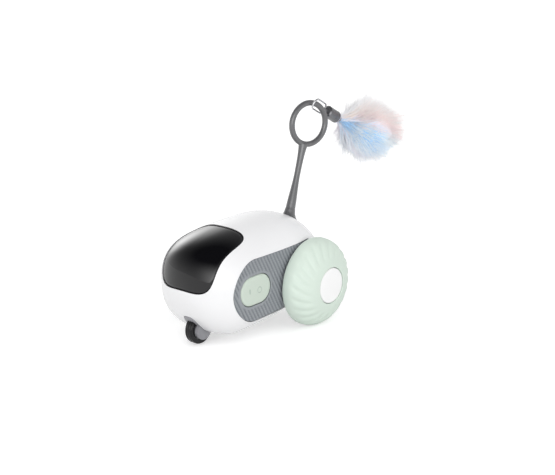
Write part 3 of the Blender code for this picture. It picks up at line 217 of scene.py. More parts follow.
# Bottom cover
COVER_FRONT_Y = -0.0470
COVER_REAR_Y = -0.0150
COVER_HALF_WIDTH = 0.0118
COVER_CORNER = 0.0030
SCREW_X = 0.0086
SCREW_FRONT_Y = -0.0420
SCREW_REAR_Y = -0.0200
SCREW_HEAD_RADIUS = 0.0018
SCREW_HEAD_HEIGHT = 0.0009
SCREW_HEAD_SUNK = 0.0001
SCREW_RADIUS = 0.0009
SCREW_LENGTH = 0.0052
SCREW_EDGE = 0.0002
SCREW_SLOT_HALF = (0.0011, 0.00022, 0.0004)
SCREW_SEGMENTS = 32

# Charging socket
CHARGER_Z = 0.0300
CHARGER_WIDTH = 0.0089
CHARGER_HEIGHT = 0.0032
CHARGER_SUNK = 0.0008
CHARGER_TONGUE_HALF = (0.0030, 0.0022, 0.00035)
CHARGER_TONGUE_CORNER_SHARE = 0.8

# Tail
TAIL_HINGE = (0, 0.0156, 0.0555)
TAIL_BASE_RADIUS = 0.0027
TAIL_WAIST_RADIUS = 0.0017
TAIL_NECK_RADIUS = 0.0027
TAIL_RING_CENTRE = (0, 0.0326, 0.1016)
TAIL_RING_RADIUS = 0.0116
TAIL_TUBE_RADIUS = 0.00165
TAIL_RING_TURN = math.radians(13.3)
SOCKET_LEAN = math.radians(20.2)
SOCKET_RIM_RADIUS = 0.0030
SOCKET_FLARE = 0.0062
SOCKET_FLARE_DEPTH = 0.0085
SOCKET_FLARE_POWER = 1.9
SOCKET_ABOVE = 0.0022
TAIL_STEPS = 24
TAIL_RING_STEPS = 96
TAIL_SWELL_POWER = 7.0
TAIL_WAIST_SHARE = 0.55
TAIL_SIDES = 32
FOOT_TOP_SHARE = 0.9
FOOT_SEGMENTS = 64
TAIL_VOXEL = 0.00032
TAIL_SMOOTHING = 8
TAIL_SMOOTH_FACTOR = 0.5

# Wire loop, ferrule and tuft
LOOP_STATION = math.radians(40)
LOOP_SLANT = math.radians(14)
LOOP_ROLL = math.radians(20)
LOOP_HALF_WIDTH = 0.0031
LOOP_HALF_LENGTH = 0.0076
LOOP_WIRE_RADIUS = 0.0005
LOOP_ARC_STEPS = 20
LOOP_SIDES = 16
FERRULE_DROP = math.radians(29)
FERRULE_RADIUS = 0.00345
FERRULE_START = 0.0024
FERRULE_END = 0.0146
FERRULE_EDGE = 0.0006
FERRULE_CRIMP = 0.00025
FERRULE_CRIMP_HALF = 0.0007
FERRULE_CRIMP_SHARE = 0.80
FERRULE_STEPS = 40
FERRULE_SEGMENTS = 64
MOUTH_END = 0.0120
COLLAR_RADIUS = 0.0034
COLLAR_LENGTH = 0.0009
COLLAR_SEGMENTS = 48
KNOT_RADIUS = 0.0020
KNOT_LENGTH = 0.0030
KNOT_STEPS = 32
KNOT_SEGMENTS = 32
KNOT_HALF_TURNS = 10
KNOT_RELIEF = 0.06
LUG_WALL = 0.0007
LUG_THICKNESS = 0.0016
LUG_EDGE = 0.0003
LUG_STEPS = 24
TUFT_DROP = math.radians(26.4)
TUFT_TURN = math.radians(20)
TUFT_LENGTH = 0.0425
TUFT_RADIUS = 0.0198
TUFT_ROOT_OUT = 0.0016
CORE_SHARE = 0.74
CORE_STEPS = 72
CORE_ROWS = 40
CORE_RIPPLE = 0.10
CORE_RIPPLE_ROUND = 3
CORE_RIPPLE_ALONG = 1.5
TUFT_CLUMPS = 110
TUFT_COVER = 1.70
TUFT_BACK = math.radians(135)
TUFT_STRANDS = 96
TUFT_CREST = 0.26
GOLDEN_TURN = math.pi * (1 + 5 ** 0.5)
CLUMP_REACH = (0.88, 1.10)
CLUMP_SPREAD = 0.24
CLUMP_GATHER = 0.40
CLUMP_EDGE_REACH = 0.76
CLUMP_LEAST_SINE = 0.35
SHORT_REACH = 0.60
ROOT_SCATTER = 0.0006
STRAND_SCATTER = 0.0008
STRAND_LEAN = 0.25
STRAND_STEPS = 7
STRAND_SIDES = 3
STRAND_RADIUS = 0.00017
STRAND_TAPER = 0.85
STRAND_BRIGHTNESS = (0.96, 1.04)
COLOUR_WANDER = 7
COLOUR_FADE_START = 0.35
FIBRE_ROUGH = (0.7, 0.95)
TUFT_SEED = 11

# Tuft colours by the angle round its axis, in degrees: at the root and at the tip
TUFT_BANDS = (
    (-180, (0.70, 0.84, 1.00), (0.95, 0.97, 1.00)),
    (-130, (0.92, 0.88, 1.00), (0.98, 0.96, 1.00)),
    (-80, (0.98, 0.86, 0.92), (0.99, 0.96, 0.97)),
    (-30, (0.96, 0.96, 0.98), (0.97, 0.97, 0.98)),
    (15, (0.95, 0.95, 0.98), (0.97, 0.97, 0.98)),
    (45, (1.00, 0.86, 0.78), (0.98, 0.90, 0.89)),
    (68, (0.80, 0.86, 1.00), (1.00, 0.80, 0.80)),
    (88, (0.42, 0.70, 1.00), (0.90, 0.95, 0.94)),
    (112, (0.38, 0.67, 1.00), (0.82, 0.91, 1.00)),
    (140, (0.58, 0.79, 1.00), (0.91, 0.95, 1.00)),
    (165, (0.94, 0.88, 1.00), (0.96, 0.96, 1.00)),
    (180, (0.70, 0.84, 1.00), (0.95, 0.97, 1.00)),
)

# Studio: the air's brightness at the horizon and overhead, and soft patches in it, each by its
# direction, its sharpness and the light that it adds or takes away. Some light the object and
# some, with the dark ceiling, are what its glossy surfaces show.
FLOOR_HALF = 3.0
FLOOR_COLOUR = (0.8, 0.8, 0.8, 1.0)
FLOOR_ROUGH = 0.9
FLOOR_GLOW = 0.45
HORIZON_LIGHT = 0.74
TOP_LIGHT = 0.64
BACKGROUND_LIGHT = 1.0
LEAST_LIGHT = 0.03
LIT_PATCHES = (
    ((0.10, -0.97, 0.15), 9.0, 1.6),
    ((0.93, -0.30, 0.20), 4.0, 1.3),
)
SHOWN_PATCHES = (
    ((0.00, -0.15, 0.99), 1.1, -1.10),
    ((-0.86, 0.40, 0.32), 26.0, 3.4),
    ((0.60, -0.76, 0.10), 8.0, 3.0),
)
LAMP_POWER = 0.5
LAMP_SIZE = 0.8
LAMP_PLACE = (0.10, -0.85, 0.75)

# Moulded surfaces
CLOUD_SCALE = 60.0
CLOUD_DETAIL = 2.0
GRAIN_DETAIL = 3.0
ROUGH_LOW = 0.85
ROUGH_HIGH = 1.15
AXLE_HOLE = 0.0037


# Shapes shared with the frame

def panel_radius():
    """Half the panel's height, which is also the radius of its round front."""
    return (PANEL_TOP_Z - PANEL_LOW_Z) / 2


def panel_centre():
    """Centre of the panel's round front, where the button sits, as (y, z)."""
    return PANEL_FRONT_Y + panel_radius(), PANEL_LOW_Z + panel_radius()


def power_curve(y, station, front, rear, front_power, rear_power):
    """A height that falls from 1 at its station to 0 at both ends along a power curve."""
    span, power = (station - front, front_power) if y < station else (rear - station, rear_power)
    share = min(abs(y - station) / span, 1.0)
    return max(1.0 - share ** power, 0.0) ** (1.0 / power)


def centre_height(y):
    """Height of the line where the egg's upper and lower halves meet."""
    return NOSE_Z + (REAR_Z - NOSE_Z) * (y - NOSE_Y) / (REAR_Y - NOSE_Y)


def egg_section(y, inset):
    """Half-width, centre height, height above it and depth below it of the inset egg at y."""
    front = NOSE_Y + inset
    rear = REAR_Y - inset
    middle = centre_height(HIGHEST_Y)
    width = BODY_HALF_WIDTH - inset
    above = BODY_TOP_Z - inset - middle
    below = middle - BODY_LOW_Z - inset
    width *= power_curve(y, WIDEST_Y, front, rear, WIDTH_NOSE_POWER, WIDTH_REAR_POWER)
    above *= power_curve(y, HIGHEST_Y, front, rear, TOP_NOSE_POWER, TOP_REAR_POWER)
    below *= power_curve(y, LOWEST_Y, front, rear, LOW_NOSE_POWER, LOW_REAR_POWER)
    return width, centre_height(y), above, below


def egg_value(x, y, z, inset):
    """Below 0 inside the inset egg and above 0 outside it."""
    width, centre, above, below = egg_section(y, inset)
    height, power = (above, UPPER_SECTION_POWER) if z > centre else (below, LOWER_SECTION_POWER)
    if min(width, height) <= SLOPE_STEP:
        return 1.0
    return (abs(x) / width) ** power + (abs(z - centre) / height) ** power - 1.0


def egg_normal(x, y, z, inset):
    """Outward direction of the egg's surface near a point."""
    step = SLOPE_STEP
    slope = Vector((egg_value(x + step, y, z, inset) - egg_value(x - step, y, z, inset),
                    egg_value(x, y + step, z, inset) - egg_value(x, y - step, z, inset),
                    egg_value(x, y, z + step, inset) - egg_value(x, y, z - step, inset)))
    return slope.normalized()


def egg_side(y, z, inset):
    """Half-width of the inset egg at (y, z)."""
    width, centre, above, below = egg_section(y, inset)
    height, power = (above, UPPER_SECTION_POWER) if z > centre else (below, LOWER_SECTION_POWER)
    if height <= abs(z - centre):
        return 0.0
    return width * (1.0 - (abs(z - centre) / height) ** power) ** (1.0 / power)


def egg_floor(x, y, inset):
    """Height of the inset egg's underside at (x, y)."""
    width, centre, _, below = egg_section(y, inset)
    share = min(abs(x) / width, 1.0)
    depth = below * (1.0 - share ** LOWER_SECTION_POWER) ** (1.0 / LOWER_SECTION_POWER)
    return max(centre - depth, BELLY_Z + inset)


def signed_power(value, power):
    """A power that keeps its base's sign."""
    return math.copysign(abs(value) ** power, value)


def egg_point(direction, inset):
    """Point of the inset egg for a unit sphere's vertex, whose pole +Z goes to the nose."""
    y = NOSE_Y + inset + (REAR_Y - NOSE_Y - 2 * inset) * (1.0 - direction.z) / 2
    width, centre, above, below = egg_section(y, inset)
    ring = math.hypot(direction.x, direction.y) or 1.0
    across, up = direction.x / ring, direction.y / ring
    power = 2.0 / (UPPER_SECTION_POWER if up > 0 else LOWER_SECTION_POWER)
    height = (above if up > 0 else below) * signed_power(up, power)
    return Vector((width * signed_power(across, power), y, max(centre + height, BELLY_Z + inset)))


def smooth_step(value, low, high):
    """Eased share of the way from low to high."""
    share = min(max((value - low) / (high - low), 0.0), 1.0)
    return share * share * (3.0 - 2.0 * share)


def mix(a, b, share):
    """Part of the way from a to b."""
    return a + (b - a) * share


# Mesh helpers

def to_frame(vector):
    """Carries a point of the axle's frame to the row's frame."""
    return Vector((vector[0], vector[1] + AXLE_Y, vector[2]))


def mesh_from(name, points, faces):
    """A smooth mesh with sharp corners, moved into the row's frame."""
    mesh = bpy.data.meshes.new(name)
    mesh.from_pydata([to_frame(point) for point in points], [], faces)
    bm = bmesh.new()
    bm.from_mesh(mesh)
    bmesh.ops.remove_doubles(bm, verts=bm.verts, dist=SLOPE_STEP / 4)
    bmesh.ops.recalc_face_normals(bm, faces=bm.faces)
    bm.to_mesh(mesh)
    bm.free()
    mesh.shade_smooth()
    mesh.set_sharp_from_angle(angle=SMOOTH_ANGLE)
    return mesh


def add_object(name, mesh):
    """Link a mesh as an object."""
    item = bpy.data.objects.new(name, mesh)
    bpy.context.scene.collection.objects.link(item)
    return item


def dress(name, mesh, material, body, *nodes):
    """A visible piece that rides on a body and stands for CAD nodes."""
    item = mesh if isinstance(mesh, bpy.types.Object) else add_object(name, mesh)
    item.name = name
    item.data.materials.clear()
    item.data.materials.append(material)
    if body:
        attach(item, body)
    if nodes:
        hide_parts(*nodes)
    return item


def band_faces(rows, columns, wrap):
    """Quads between rows of points, each row closed where wrap is set."""
    faces = []
    for i in range(rows - 1):
        for j in range(columns if wrap else columns - 1):
            k = (j + 1) % columns
            faces.append((i * columns + j, i * columns + k, (i + 1) * columns + k, (i + 1) * columns + j))
    return faces


def turned_points(profile, segments, shift=None):
    """Points of a (along, radius) profile turned about its axis, with an optional change to each."""
    points = []
    for along, radius in profile:
        for j in range(segments):
            angle = 2 * math.pi * j / segments
            a, r = shift(along, radius, angle) if shift else (along, radius)
            points.append((a, r * math.cos(angle), r * math.sin(angle)))
    return points


def turned_mesh(name, profile, segments, place, closed=False, shift=None):
    """A profile turned about an axis, placed point by point."""
    points = [place(point) for point in turned_points(profile, segments, shift)]
    rows = len(profile)
    faces = band_faces(rows, segments, True)
    if closed:
        last = (rows - 1) * segments
        faces += [(last + j, last + (j + 1) % segments, (j + 1) % segments, j) for j in range(segments)]
    return mesh_from(name, points, faces)


def tube_mesh(name, path, radii, closed, sides=20):
    """A round tube along a path, with a radius at each point."""
    count = len(path)
    points = []
    side = Vector((0, 0, 0))
    for i in range(count):
        ahead = path[(i + 1) % count] if closed or i < count - 1 else path[i]
        behind = path[i - 1] if closed or i > 0 else path[i]
        along = (ahead - behind).normalized()
        side = (side - along * side.dot(along)) if side.length > 0 else along.orthogonal()
        side.normalize()
        across = along.cross(side)
        for j in range(sides):
            angle = 2 * math.pi * j / sides
            points.append(path[i] + (side * math.cos(angle) + across * math.sin(angle)) * radii[i])
    faces = band_faces(count, sides, True)
    if closed:
        twist = best_twist(points, count, sides)
        last = (count - 1) * sides
        faces += [(last + j, last + (j + 1) % sides, (j + 1 + twist) % sides, (j + twist) % sides)
                  for j in range(sides)]
    else:
        faces.append(tuple(range(sides)))
        faces.append(tuple((count - 1) * sides + j for j in reversed(range(sides))))
    return mesh_from(name, points, faces)


def best_twist(points, count, sides):
    """Offset that best joins a closed tube's last row to its first."""
    last = points[(count - 1) * sides]
    return min(range(sides), key=lambda j: (points[j] - last).length)


def egg_mesh(name, inset, segments, rings):
    """The body's egg, inset by a distance, shaped from a sphere whose poles are its ends."""
    bm = bmesh.new()
    bmesh.ops.create_uvsphere(bm, u_segments=segments, v_segments=rings, radius=1.0)
    for vertex in bm.verts:
        vertex.co = to_frame(egg_point(vertex.co.normalized(), inset))
    bmesh.ops.triangulate(bm, faces=bm.faces)
    bmesh.ops.recalc_face_normals(bm, faces=bm.faces)
    mesh = bpy.data.meshes.new(name)
    bm.to_mesh(mesh)
    bm.free()
    mesh.shade_smooth()
    return mesh


def prism_mesh(name, outline, low, high, place):
    """A closed prism: its outline in two of a frame's axes and its ends along the third."""
    count = len(outline)
    points = [place(across, up, end) for end in (low, high) for across, up in outline]
    faces = [(j, (j + 1) % count, count + (j + 1) % count, count + j) for j in range(count)]
    faces += [tuple(range(count)), tuple(range(2 * count - 1, count - 1, -1))]
    return mesh_from(name, points, faces)


def combine(item, mesh, operation):
    """Apply an exact Boolean with a mesh that is then dropped."""
    other = add_object("operand", mesh)
    modifier = item.modifiers.new("cut", "BOOLEAN")
    modifier.operation = operation
    modifier.solver = "EXACT"
    modifier.object = other
    bake(item)
    bpy.data.objects.remove(other, do_unlink=True)
    bpy.data.meshes.remove(mesh)


def bake(item):
    """Put the modifiers' result in the object's own mesh."""
    graph = bpy.context.evaluated_depsgraph_get()
    mesh = bpy.data.meshes.new_from_object(item.evaluated_get(graph))
    old = item.data
    item.modifiers.clear()
    item.data = mesh
    bpy.data.meshes.remove(old)


def round_edges(item, width, angle, harden=False):
    """Bevel the edges that are sharper than an angle."""
    bevel = item.modifiers.new("edges", "BEVEL")
    bevel.width = width
    bevel.segments = BEVEL_SEGMENTS
    bevel.limit_method = "ANGLE"
    bevel.angle_limit = angle
    bevel.harden_normals = harden
    bake(item)


def coloured_mesh(name, points, faces, colours):
    """A mesh in the row's frame with a colour at each point."""
    mesh = bpy.data.meshes.new(name)
    mesh.from_pydata([to_frame(point) for point in points], [], faces)
    layer = mesh.color_attributes.new("strand_colour", "FLOAT_COLOR", "POINT")
    for item, colour in zip(layer.data, colours):
        item.color = (*colour, 1.0)
    return mesh


def smooth_like_egg(item, inset):
    """Give the faces on the egg's surface its true normals, so cuts leave no ripples beside them."""
    mesh = item.data
    mesh.shade_smooth()
    normals = [None] * len(mesh.loops)
    for face in mesh.polygons:
        centre = face.center
        flat = egg_normal(centre.x, centre.y - AXLE_Y, centre.z, inset)
        on_egg = face.normal.dot(flat) > FACING_SHARE and centre.z > BELLY_Z + inset + SURFACE_TOLERANCE
        for loop in face.loop_indices:
            point = mesh.vertices[mesh.loops[loop].vertex_index].co
            normal = egg_normal(point.x, point.y - AXLE_Y, point.z, inset) if on_egg else face.normal
            normals[loop] = normal if normal.length > 0 else face.normal
    mesh.normals_split_custom_set([tuple(normal) for normal in normals])


def rounded_rectangle(low, high, corner, steps=10):
    """Outline of a rectangle with round corners."""
    points = []
    corners = ((high[0], high[1]), (low[0], high[1]), (low[0], low[1]), (high[0], low[1]))
    for start, (x, y) in enumerate(corners):
        centre_x = x - math.copysign(corner, x - low[0] - corner)
        centre_y = y - math.copysign(corner, y - low[1] - corner)
        for i in range(steps + 1):
            angle = (start + i / steps) * math.pi / 2
            points.append((centre_x + corner * math.cos(angle), centre_y + corner * math.sin(angle)))
    return points


def stadium(length, height, steps=24):
    """Outline of a slot shape about its centre."""
    radius = height / 2
    reach = length / 2 - radius
    points = []
    for side in (1, -1):
        for i in range(steps + 1):
            angle = (i / steps - 0.5) * math.pi
            points.append((side * (reach + radius * math.cos(angle)), side * radius * math.sin(angle)))
    return points


def ring_outline(radius, steps=48):
    """Round outline about the origin."""
    return [(radius * math.cos(2 * math.pi * i / steps), radius * math.sin(2 * math.pi * i / steps))
            for i in range(steps)]


# Material helpers

def new_material(name):
    """An empty material's nodes, with its Principled shader."""
    material = bpy.data.materials.new(name)
    material.use_nodes = True
    tree = material.node_tree
    return material, tree.nodes, tree.links, tree.nodes["Principled BSDF"]


def add_noise(nodes, links, scale, detail, stretch=(1, 1, 1)):
    """Noise over the object's own coordinates."""
    place = nodes.new("ShaderNodeTexCoord")
    mapping = nodes.new("ShaderNodeMapping")
    mapping.inputs["Scale"].default_value = stretch
    texture = nodes.new("ShaderNodeTexNoise")
    texture.inputs["Scale"].default_value = scale
    texture.inputs["Detail"].default_value = detail
    links.new(place.outputs["Object"], mapping.inputs["Vector"])
    links.new(mapping.outputs["Vector"], texture.inputs["Vector"])
    return texture


def add_colour(nodes, links, source, low, high, target):
    """Run a colour between two values by a source's value."""
    blend = nodes.new("ShaderNodeMix")
    blend.data_type = "RGBA"
    blend.inputs["A"].default_value = (*low, 1.0)
    blend.inputs["B"].default_value = (*high, 1.0)
    links.new(source, blend.inputs["Factor"])
    links.new(blend.outputs["Result"], target)
    return blend


def add_range(nodes, links, source, low, high, target):
    """Run a number between two values by a source's value."""
    span = nodes.new("ShaderNodeMapRange")
    span.inputs["To Min"].default_value = low
    span.inputs["To Max"].default_value = high
    links.new(source, span.inputs["Value"])
    links.new(span.outputs["Result"], target)


def add_bump(nodes, links, source, distance, target):
    """Fine relief from a source's value."""
    bump = nodes.new("ShaderNodeBump")
    bump.inputs["Distance"].default_value = distance
    links.new(source, bump.inputs["Height"])
    links.new(bump.outputs["Normal"], target)


def add_math(nodes, links, operation, first, second):
    """One sum of two sources or plain numbers."""
    step = nodes.new("ShaderNodeMath")
    step.operation = operation
    for socket, value in zip(step.inputs, (first, second)):
        if isinstance(value, bpy.types.NodeSocket):
            links.new(value, socket)
        else:
            socket.default_value = value
    return step.outputs["Value"]


def moulded(name, colour, spread, roughness, grain, relief,
            metallic=0.0, specular=0.5, coat=0.0, stretch=(1, 1, 1)):
    """Moulded or machined surface: cloudy colour, uneven roughness and a fine grain."""
    material, nodes, links, shader = new_material(name)
    cloud = add_noise(nodes, links, CLOUD_SCALE, CLOUD_DETAIL)
    fine = add_noise(nodes, links, grain, GRAIN_DETAIL, stretch)
    low = [value * (1.0 - spread) for value in colour]
    high = [min(value * (1.0 + spread), 1.0) for value in colour]
    add_colour(nodes, links, cloud.outputs["Fac"], low, high, shader.inputs["Base Color"])
    add_range(nodes, links, fine.outputs["Fac"], roughness * ROUGH_LOW, roughness * ROUGH_HIGH,
              shader.inputs["Roughness"])
    add_bump(nodes, links, fine.outputs["Fac"], relief, shader.inputs["Normal"])
    shader.inputs["Metallic"].default_value = metallic
    shader.inputs["Specular IOR Level"].default_value = specular
    shader.inputs["Coat Weight"].default_value = coat
    return material


def white_plastic():
    """Glossy white casing."""
    return moulded("white_plastic", (0.86, 0.86, 0.87), 0.01, 0.26, 3500.0, 0.000004, specular=0.45)


def visor_gloss():
    """Black window with a clear gloss."""
    return moulded("visor_gloss", (0.003, 0.003, 0.004), 0.2, 0.08, 500.0, 0.000002, specular=0.5)


def panel_grey():
    """Blue-grey satin panel with painted shade in its grooves: darker where their floors lie nearer the toy's
    middle.
    """
    material, nodes, links, shader = new_material("panel_grey")
    place = nodes.new("ShaderNodeTexCoord")
    split = nodes.new("ShaderNodeSeparateXYZ")
    links.new(place.outputs["Object"], split.inputs["Vector"])
    out = nodes.new("ShaderNodeMath")
    out.operation = "ABSOLUTE"
    links.new(split.outputs["X"], out.inputs[0])
    # Painted shade: the colour darkens with depth, from the ridges down to the groove floors
    height = nodes.new("ShaderNodeMapRange")
    height.inputs["From Min"].default_value = PANEL_FACE_X - RIB_DEPTH
    height.inputs["From Max"].default_value = PANEL_FACE_X - RIB_DEPTH * RIB_TOP_SHARE
    links.new(out.outputs["Value"], height.inputs["Value"])
    add_colour(nodes, links, height.outputs["Result"], GROOVE_SHADE_GREY, RIDGE_GREY, shader.inputs["Base Color"])
    fine = add_noise(nodes, links, 5000.0, GRAIN_DETAIL)
    add_range(nodes, links, fine.outputs["Fac"], PANEL_ROUGH * ROUGH_LOW, PANEL_ROUGH * ROUGH_HIGH,
              shader.inputs["Roughness"])
    add_bump(nodes, links, fine.outputs["Fac"], PANEL_GRAIN, shader.inputs["Normal"])
    shader.inputs["Specular IOR Level"].default_value = 0.4
    return material


def tyre_mint():
    """Satin mint rubber."""
    return moulded("tyre_mint", (0.665, 0.765, 0.685), 0.015, 0.48, 4200.0, 0.000010, specular=0.4)


def button_mint():
    """Satin mint-grey plastic."""
    return moulded("button_mint", (0.60, 0.68, 0.60), 0.015, 0.38, 4500.0, 0.000008, specular=0.4)


def button_mark():
    """Slightly darker mark on the button."""
    return moulded("button_mark", (0.48, 0.56, 0.50), 0.03, 0.5, 4500.0, 0.000006, specular=0.3)


def cap_white():
    """Satin white hub cap."""
    return moulded("cap_white", (0.92, 0.92, 0.92), 0.01, 0.34, 3800.0, 0.000006, specular=0.5)


def roller_black():
    """Glossy black rubber."""
    return moulded("roller_black", (0.006, 0.006, 0.007), 0.15, 0.12, 2600.0, 0.000003, specular=0.3)


def well_grey():
    """Satin grey plastic of the roller's well and hub."""
    return moulded("well_grey", (0.27, 0.27, 0.29), 0.04, 0.38, 4200.0, 0.000010)


def tail_grey():
    """Soft satin grey rubber."""
    return moulded("tail_grey", (0.100, 0.100, 0.106), 0.05, 0.24, 3800.0, 0.000006, specular=1.0)


def wire_metal():
    """Bright drawn wire."""
    return moulded("wire_metal", (0.62, 0.62, 0.63), 0.05, 0.26, 2600.0, 0.000006, metallic=1.0)


def ferrule_metal():
    """Dark satin crimp."""
    return moulded("ferrule_metal", (0.17, 0.17, 0.18), 0.08, 0.28, 3000.0, 0.000010, metallic=0.8)


def collar_lilac():
    """Pale end of the tuft's binding."""
    return moulded("collar_lilac", (0.78, 0.76, 0.88), 0.04, 0.6, 3000.0, 0.000020)


def knot_dark():
    """Dark thread that ties the tuft's root."""
    return moulded("knot_dark", (0.05, 0.05, 0.07), 0.2, 0.8, 2600.0, 0.000060)


def brushed_steel():
    """Turned steel."""
    return moulded("brushed_steel", (0.58, 0.58, 0.60), 0.04, 0.32, 1800.0, 0.000008, metallic=1.0,
                   stretch=(1, 1, 8))


def turned_brass():
    """Turned brass."""
    return moulded("turned_brass", (0.70, 0.52, 0.24), 0.05, 0.32, 1800.0, 0.000008, metallic=1.0,
                   stretch=(8, 1, 1))


def gear_white():
    """Off-white gear plastic."""
    return moulded("gear_white", (0.78, 0.78, 0.73), 0.03, 0.5, 3000.0, 0.000012)


def board_green():
    """Circuit board."""
    return moulded("board_green", (0.025, 0.15, 0.07), 0.25, 0.4, 900.0, 0.000015)


def switch_black():
    """Black switch housing."""
    return moulded("switch_black", (0.03, 0.03, 0.03), 0.1, 0.5, 3000.0, 0.000012)


def battery_wrap():
    """Blue film over a cell."""
    return moulded("battery_wrap", (0.08, 0.21, 0.46), 0.08, 0.3, 700.0, 0.000030, coat=0.3)


def inner_grey():
    """Plain grey inner plastic."""
    return moulded("inner_grey", (0.22, 0.22, 0.23), 0.04, 0.55, 3200.0, 0.000015)


def tuft_fibre():
    """Plush fibre that takes its colour from each strand."""
    material, nodes, links, shader = new_material("tuft_fibre")
    tint = nodes.new("ShaderNodeVertexColor")
    tint.layer_name = "strand_colour"
    fine = add_noise(nodes, links, 1800.0, GRAIN_DETAIL)
    links.new(tint.outputs["Color"], shader.inputs["Base Color"])
    add_range(nodes, links, fine.outputs["Fac"], *FIBRE_ROUGH, shader.inputs["Roughness"])
    shader.inputs["Specular IOR Level"].default_value = 0.2
    shader.inputs["Sheen Weight"].default_value = 1.0
    shader.inputs["Sheen Roughness"].default_value = 0.6
    return material


# Casing

def panel_outline(margin):
    """Round-fronted panel outline in (y, z), open to the rear past the body."""
    y_centre, z_centre = panel_centre()
    radius = panel_radius() + margin
    points = []
    for i in range(PANEL_ARC_STEPS + 1):
        angle = (0.5 + i / PANEL_ARC_STEPS) * math.pi
        points.append((y_centre + radius * math.cos(angle), z_centre + radius * math.sin(angle)))
    rear = REAR_Y + CUT_OVERRUN
    return points + [(rear, z_centre - radius), (rear, z_centre + radius)]


def side_place(side):
    """Places (y, z, x) on the left (1) or right (-1) side."""
    return lambda y, z, x: (side * x, y, z)


def visor_axes():
    """The visor's up direction and the direction in which it is cut."""
    turn = Euler((VISOR_TILT, 0, 0)).to_matrix()
    return turn @ Vector((0, 1, 0)), turn @ Vector((0, 0, 1))


def visor_place(across, up, out):
    """Point of the visor's tilted prism."""
    rise, ahead = visor_axes()
    return Vector((across, 0, 0)) + rise * (up + VISOR_CENTRE) + ahead * out


def visor_outline(margin, steps=VISOR_STEPS):
    """Visor outline across and up the tilted direction in which it is cut."""
    points = []
    for i in range(steps):
        angle = 2 * math.pi * i / steps
        across = signed_power(math.cos(angle), 2 / VISOR_CORNER_POWER) * (VISOR_HALF_WIDTH + margin)
        up = signed_power(math.sin(angle), 2 / VISOR_CORNER_POWER) * (VISOR_HALF_HEIGHT + margin)
        points.append((across, up))
    return points


def tail_turn():
    """Leans local Z back along the tail's root."""
    return Euler((-SOCKET_LEAN, 0, 0)).to_matrix()


def hollow_egg(name):
    """The egg's wall, closed all round."""
    item = add_object(name, egg_mesh(name, 0, EGG_SEGMENTS, EGG_RINGS))
    combine(item, egg_mesh("lining", WALL, EGG_SEGMENTS // 2, EGG_RINGS // 2), "DIFFERENCE")
    return item


def make_shell(material):
    """White casing with its openings."""
    shell = hollow_egg("casing")
    pocket = PANEL_FACE_X - PANEL_THICKNESS - FIT_GAP
    for side in (1, -1):
        cut = prism_mesh("pocket", panel_outline(FIT_GAP), pocket, pocket + CUT_OVERRUN, side_place(side))
        combine(shell, cut, "DIFFERENCE")
    window = prism_mesh("opening", visor_outline(0), VISOR_BACK, VISOR_FRONT, visor_place)
    combine(shell, window, "DIFFERENCE")
    combine(shell, cover_prism(FIT_GAP), "DIFFERENCE")
    nest = well_prism(WELL_HALF_WIDTH + WELL_WALL + FIT_GAP, FIT_GAP, WELL_ROOF_Z + FIT_GAP)
    combine(shell, nest, "DIFFERENCE")
    slot = stadium(CHARGER_WIDTH + 2 * FIT_GAP, CHARGER_HEIGHT + 2 * FIT_GAP)
    cut = prism_mesh("slot", slot, REAR_Y - CUT_OVERRUN, REAR_Y + CUT_OVERRUN,
                     lambda across, up, y: (across, y, CHARGER_Z + up))
    combine(shell, cut, "DIFFERENCE")
    smooth_like_egg(shell, 0)
    return dress("casing", shell, material, "body", "top_shell")


def cover_prism(margin):
    """Prism through the belly where the bottom cover lies."""
    outline = rounded_rectangle((-COVER_HALF_WIDTH - margin, COVER_FRONT_Y - margin),
                                (COVER_HALF_WIDTH + margin, COVER_REAR_Y + margin), COVER_CORNER + margin)
    return prism_mesh("cover_prism", outline, BELLY_Z - CUT_OVERRUN, BELLY_Z + CUT_OVERRUN,
                      lambda x, y, z: (x, y, z))


def well_prism(half_width, margin, roof):
    """Prism of the roller well, from below the floor up to its roof."""
    outline = rounded_rectangle((-half_width, WELL_FRONT_Y - margin), (half_width, WELL_REAR_Y + margin),
                                WELL_CORNER + margin)
    return prism_mesh("well_prism", outline, -CUT_OVERRUN, roof, lambda x, y, z: (x, y, z))


def make_cover(material):
    """Bottom cover cut from the same egg."""
    cover = hollow_egg("bottom_cover")
    combine(cover, cover_prism(0), "INTERSECT")
    for x, y in screw_places():
        head = [(-CUT_OVERRUN, 0), (-CUT_OVERRUN, SCREW_HEAD_RADIUS + FIT_GAP),
                (FIT_GAP, SCREW_HEAD_RADIUS + FIT_GAP), (FIT_GAP, 0)]
        combine(cover, turned_mesh("screw_hole", head, SCREW_SEGMENTS, screw_place(x, y)), "DIFFERENCE")
    smooth_like_egg(cover, 0)
    return dress("bottom_cover", cover, material, "body", "base_cover")


def screw_places():
    """The bottom cover's four screw places."""
    return [(x, y) for y in (SCREW_FRONT_Y, SCREW_REAR_Y) for x in (-SCREW_X, SCREW_X)]


def screw_seat_z(x, y):
    """Height of a screw head's underside."""
    return egg_floor(x, y, 0) + SCREW_HEAD_SUNK + SCREW_HEAD_HEIGHT


def screw_place(x, y):
    """Places a turned point (up, across, along) on a screw's axis."""
    seat = screw_seat_z(x, y)
    return lambda p: (x + p[1], y + p[2], seat + p[0])


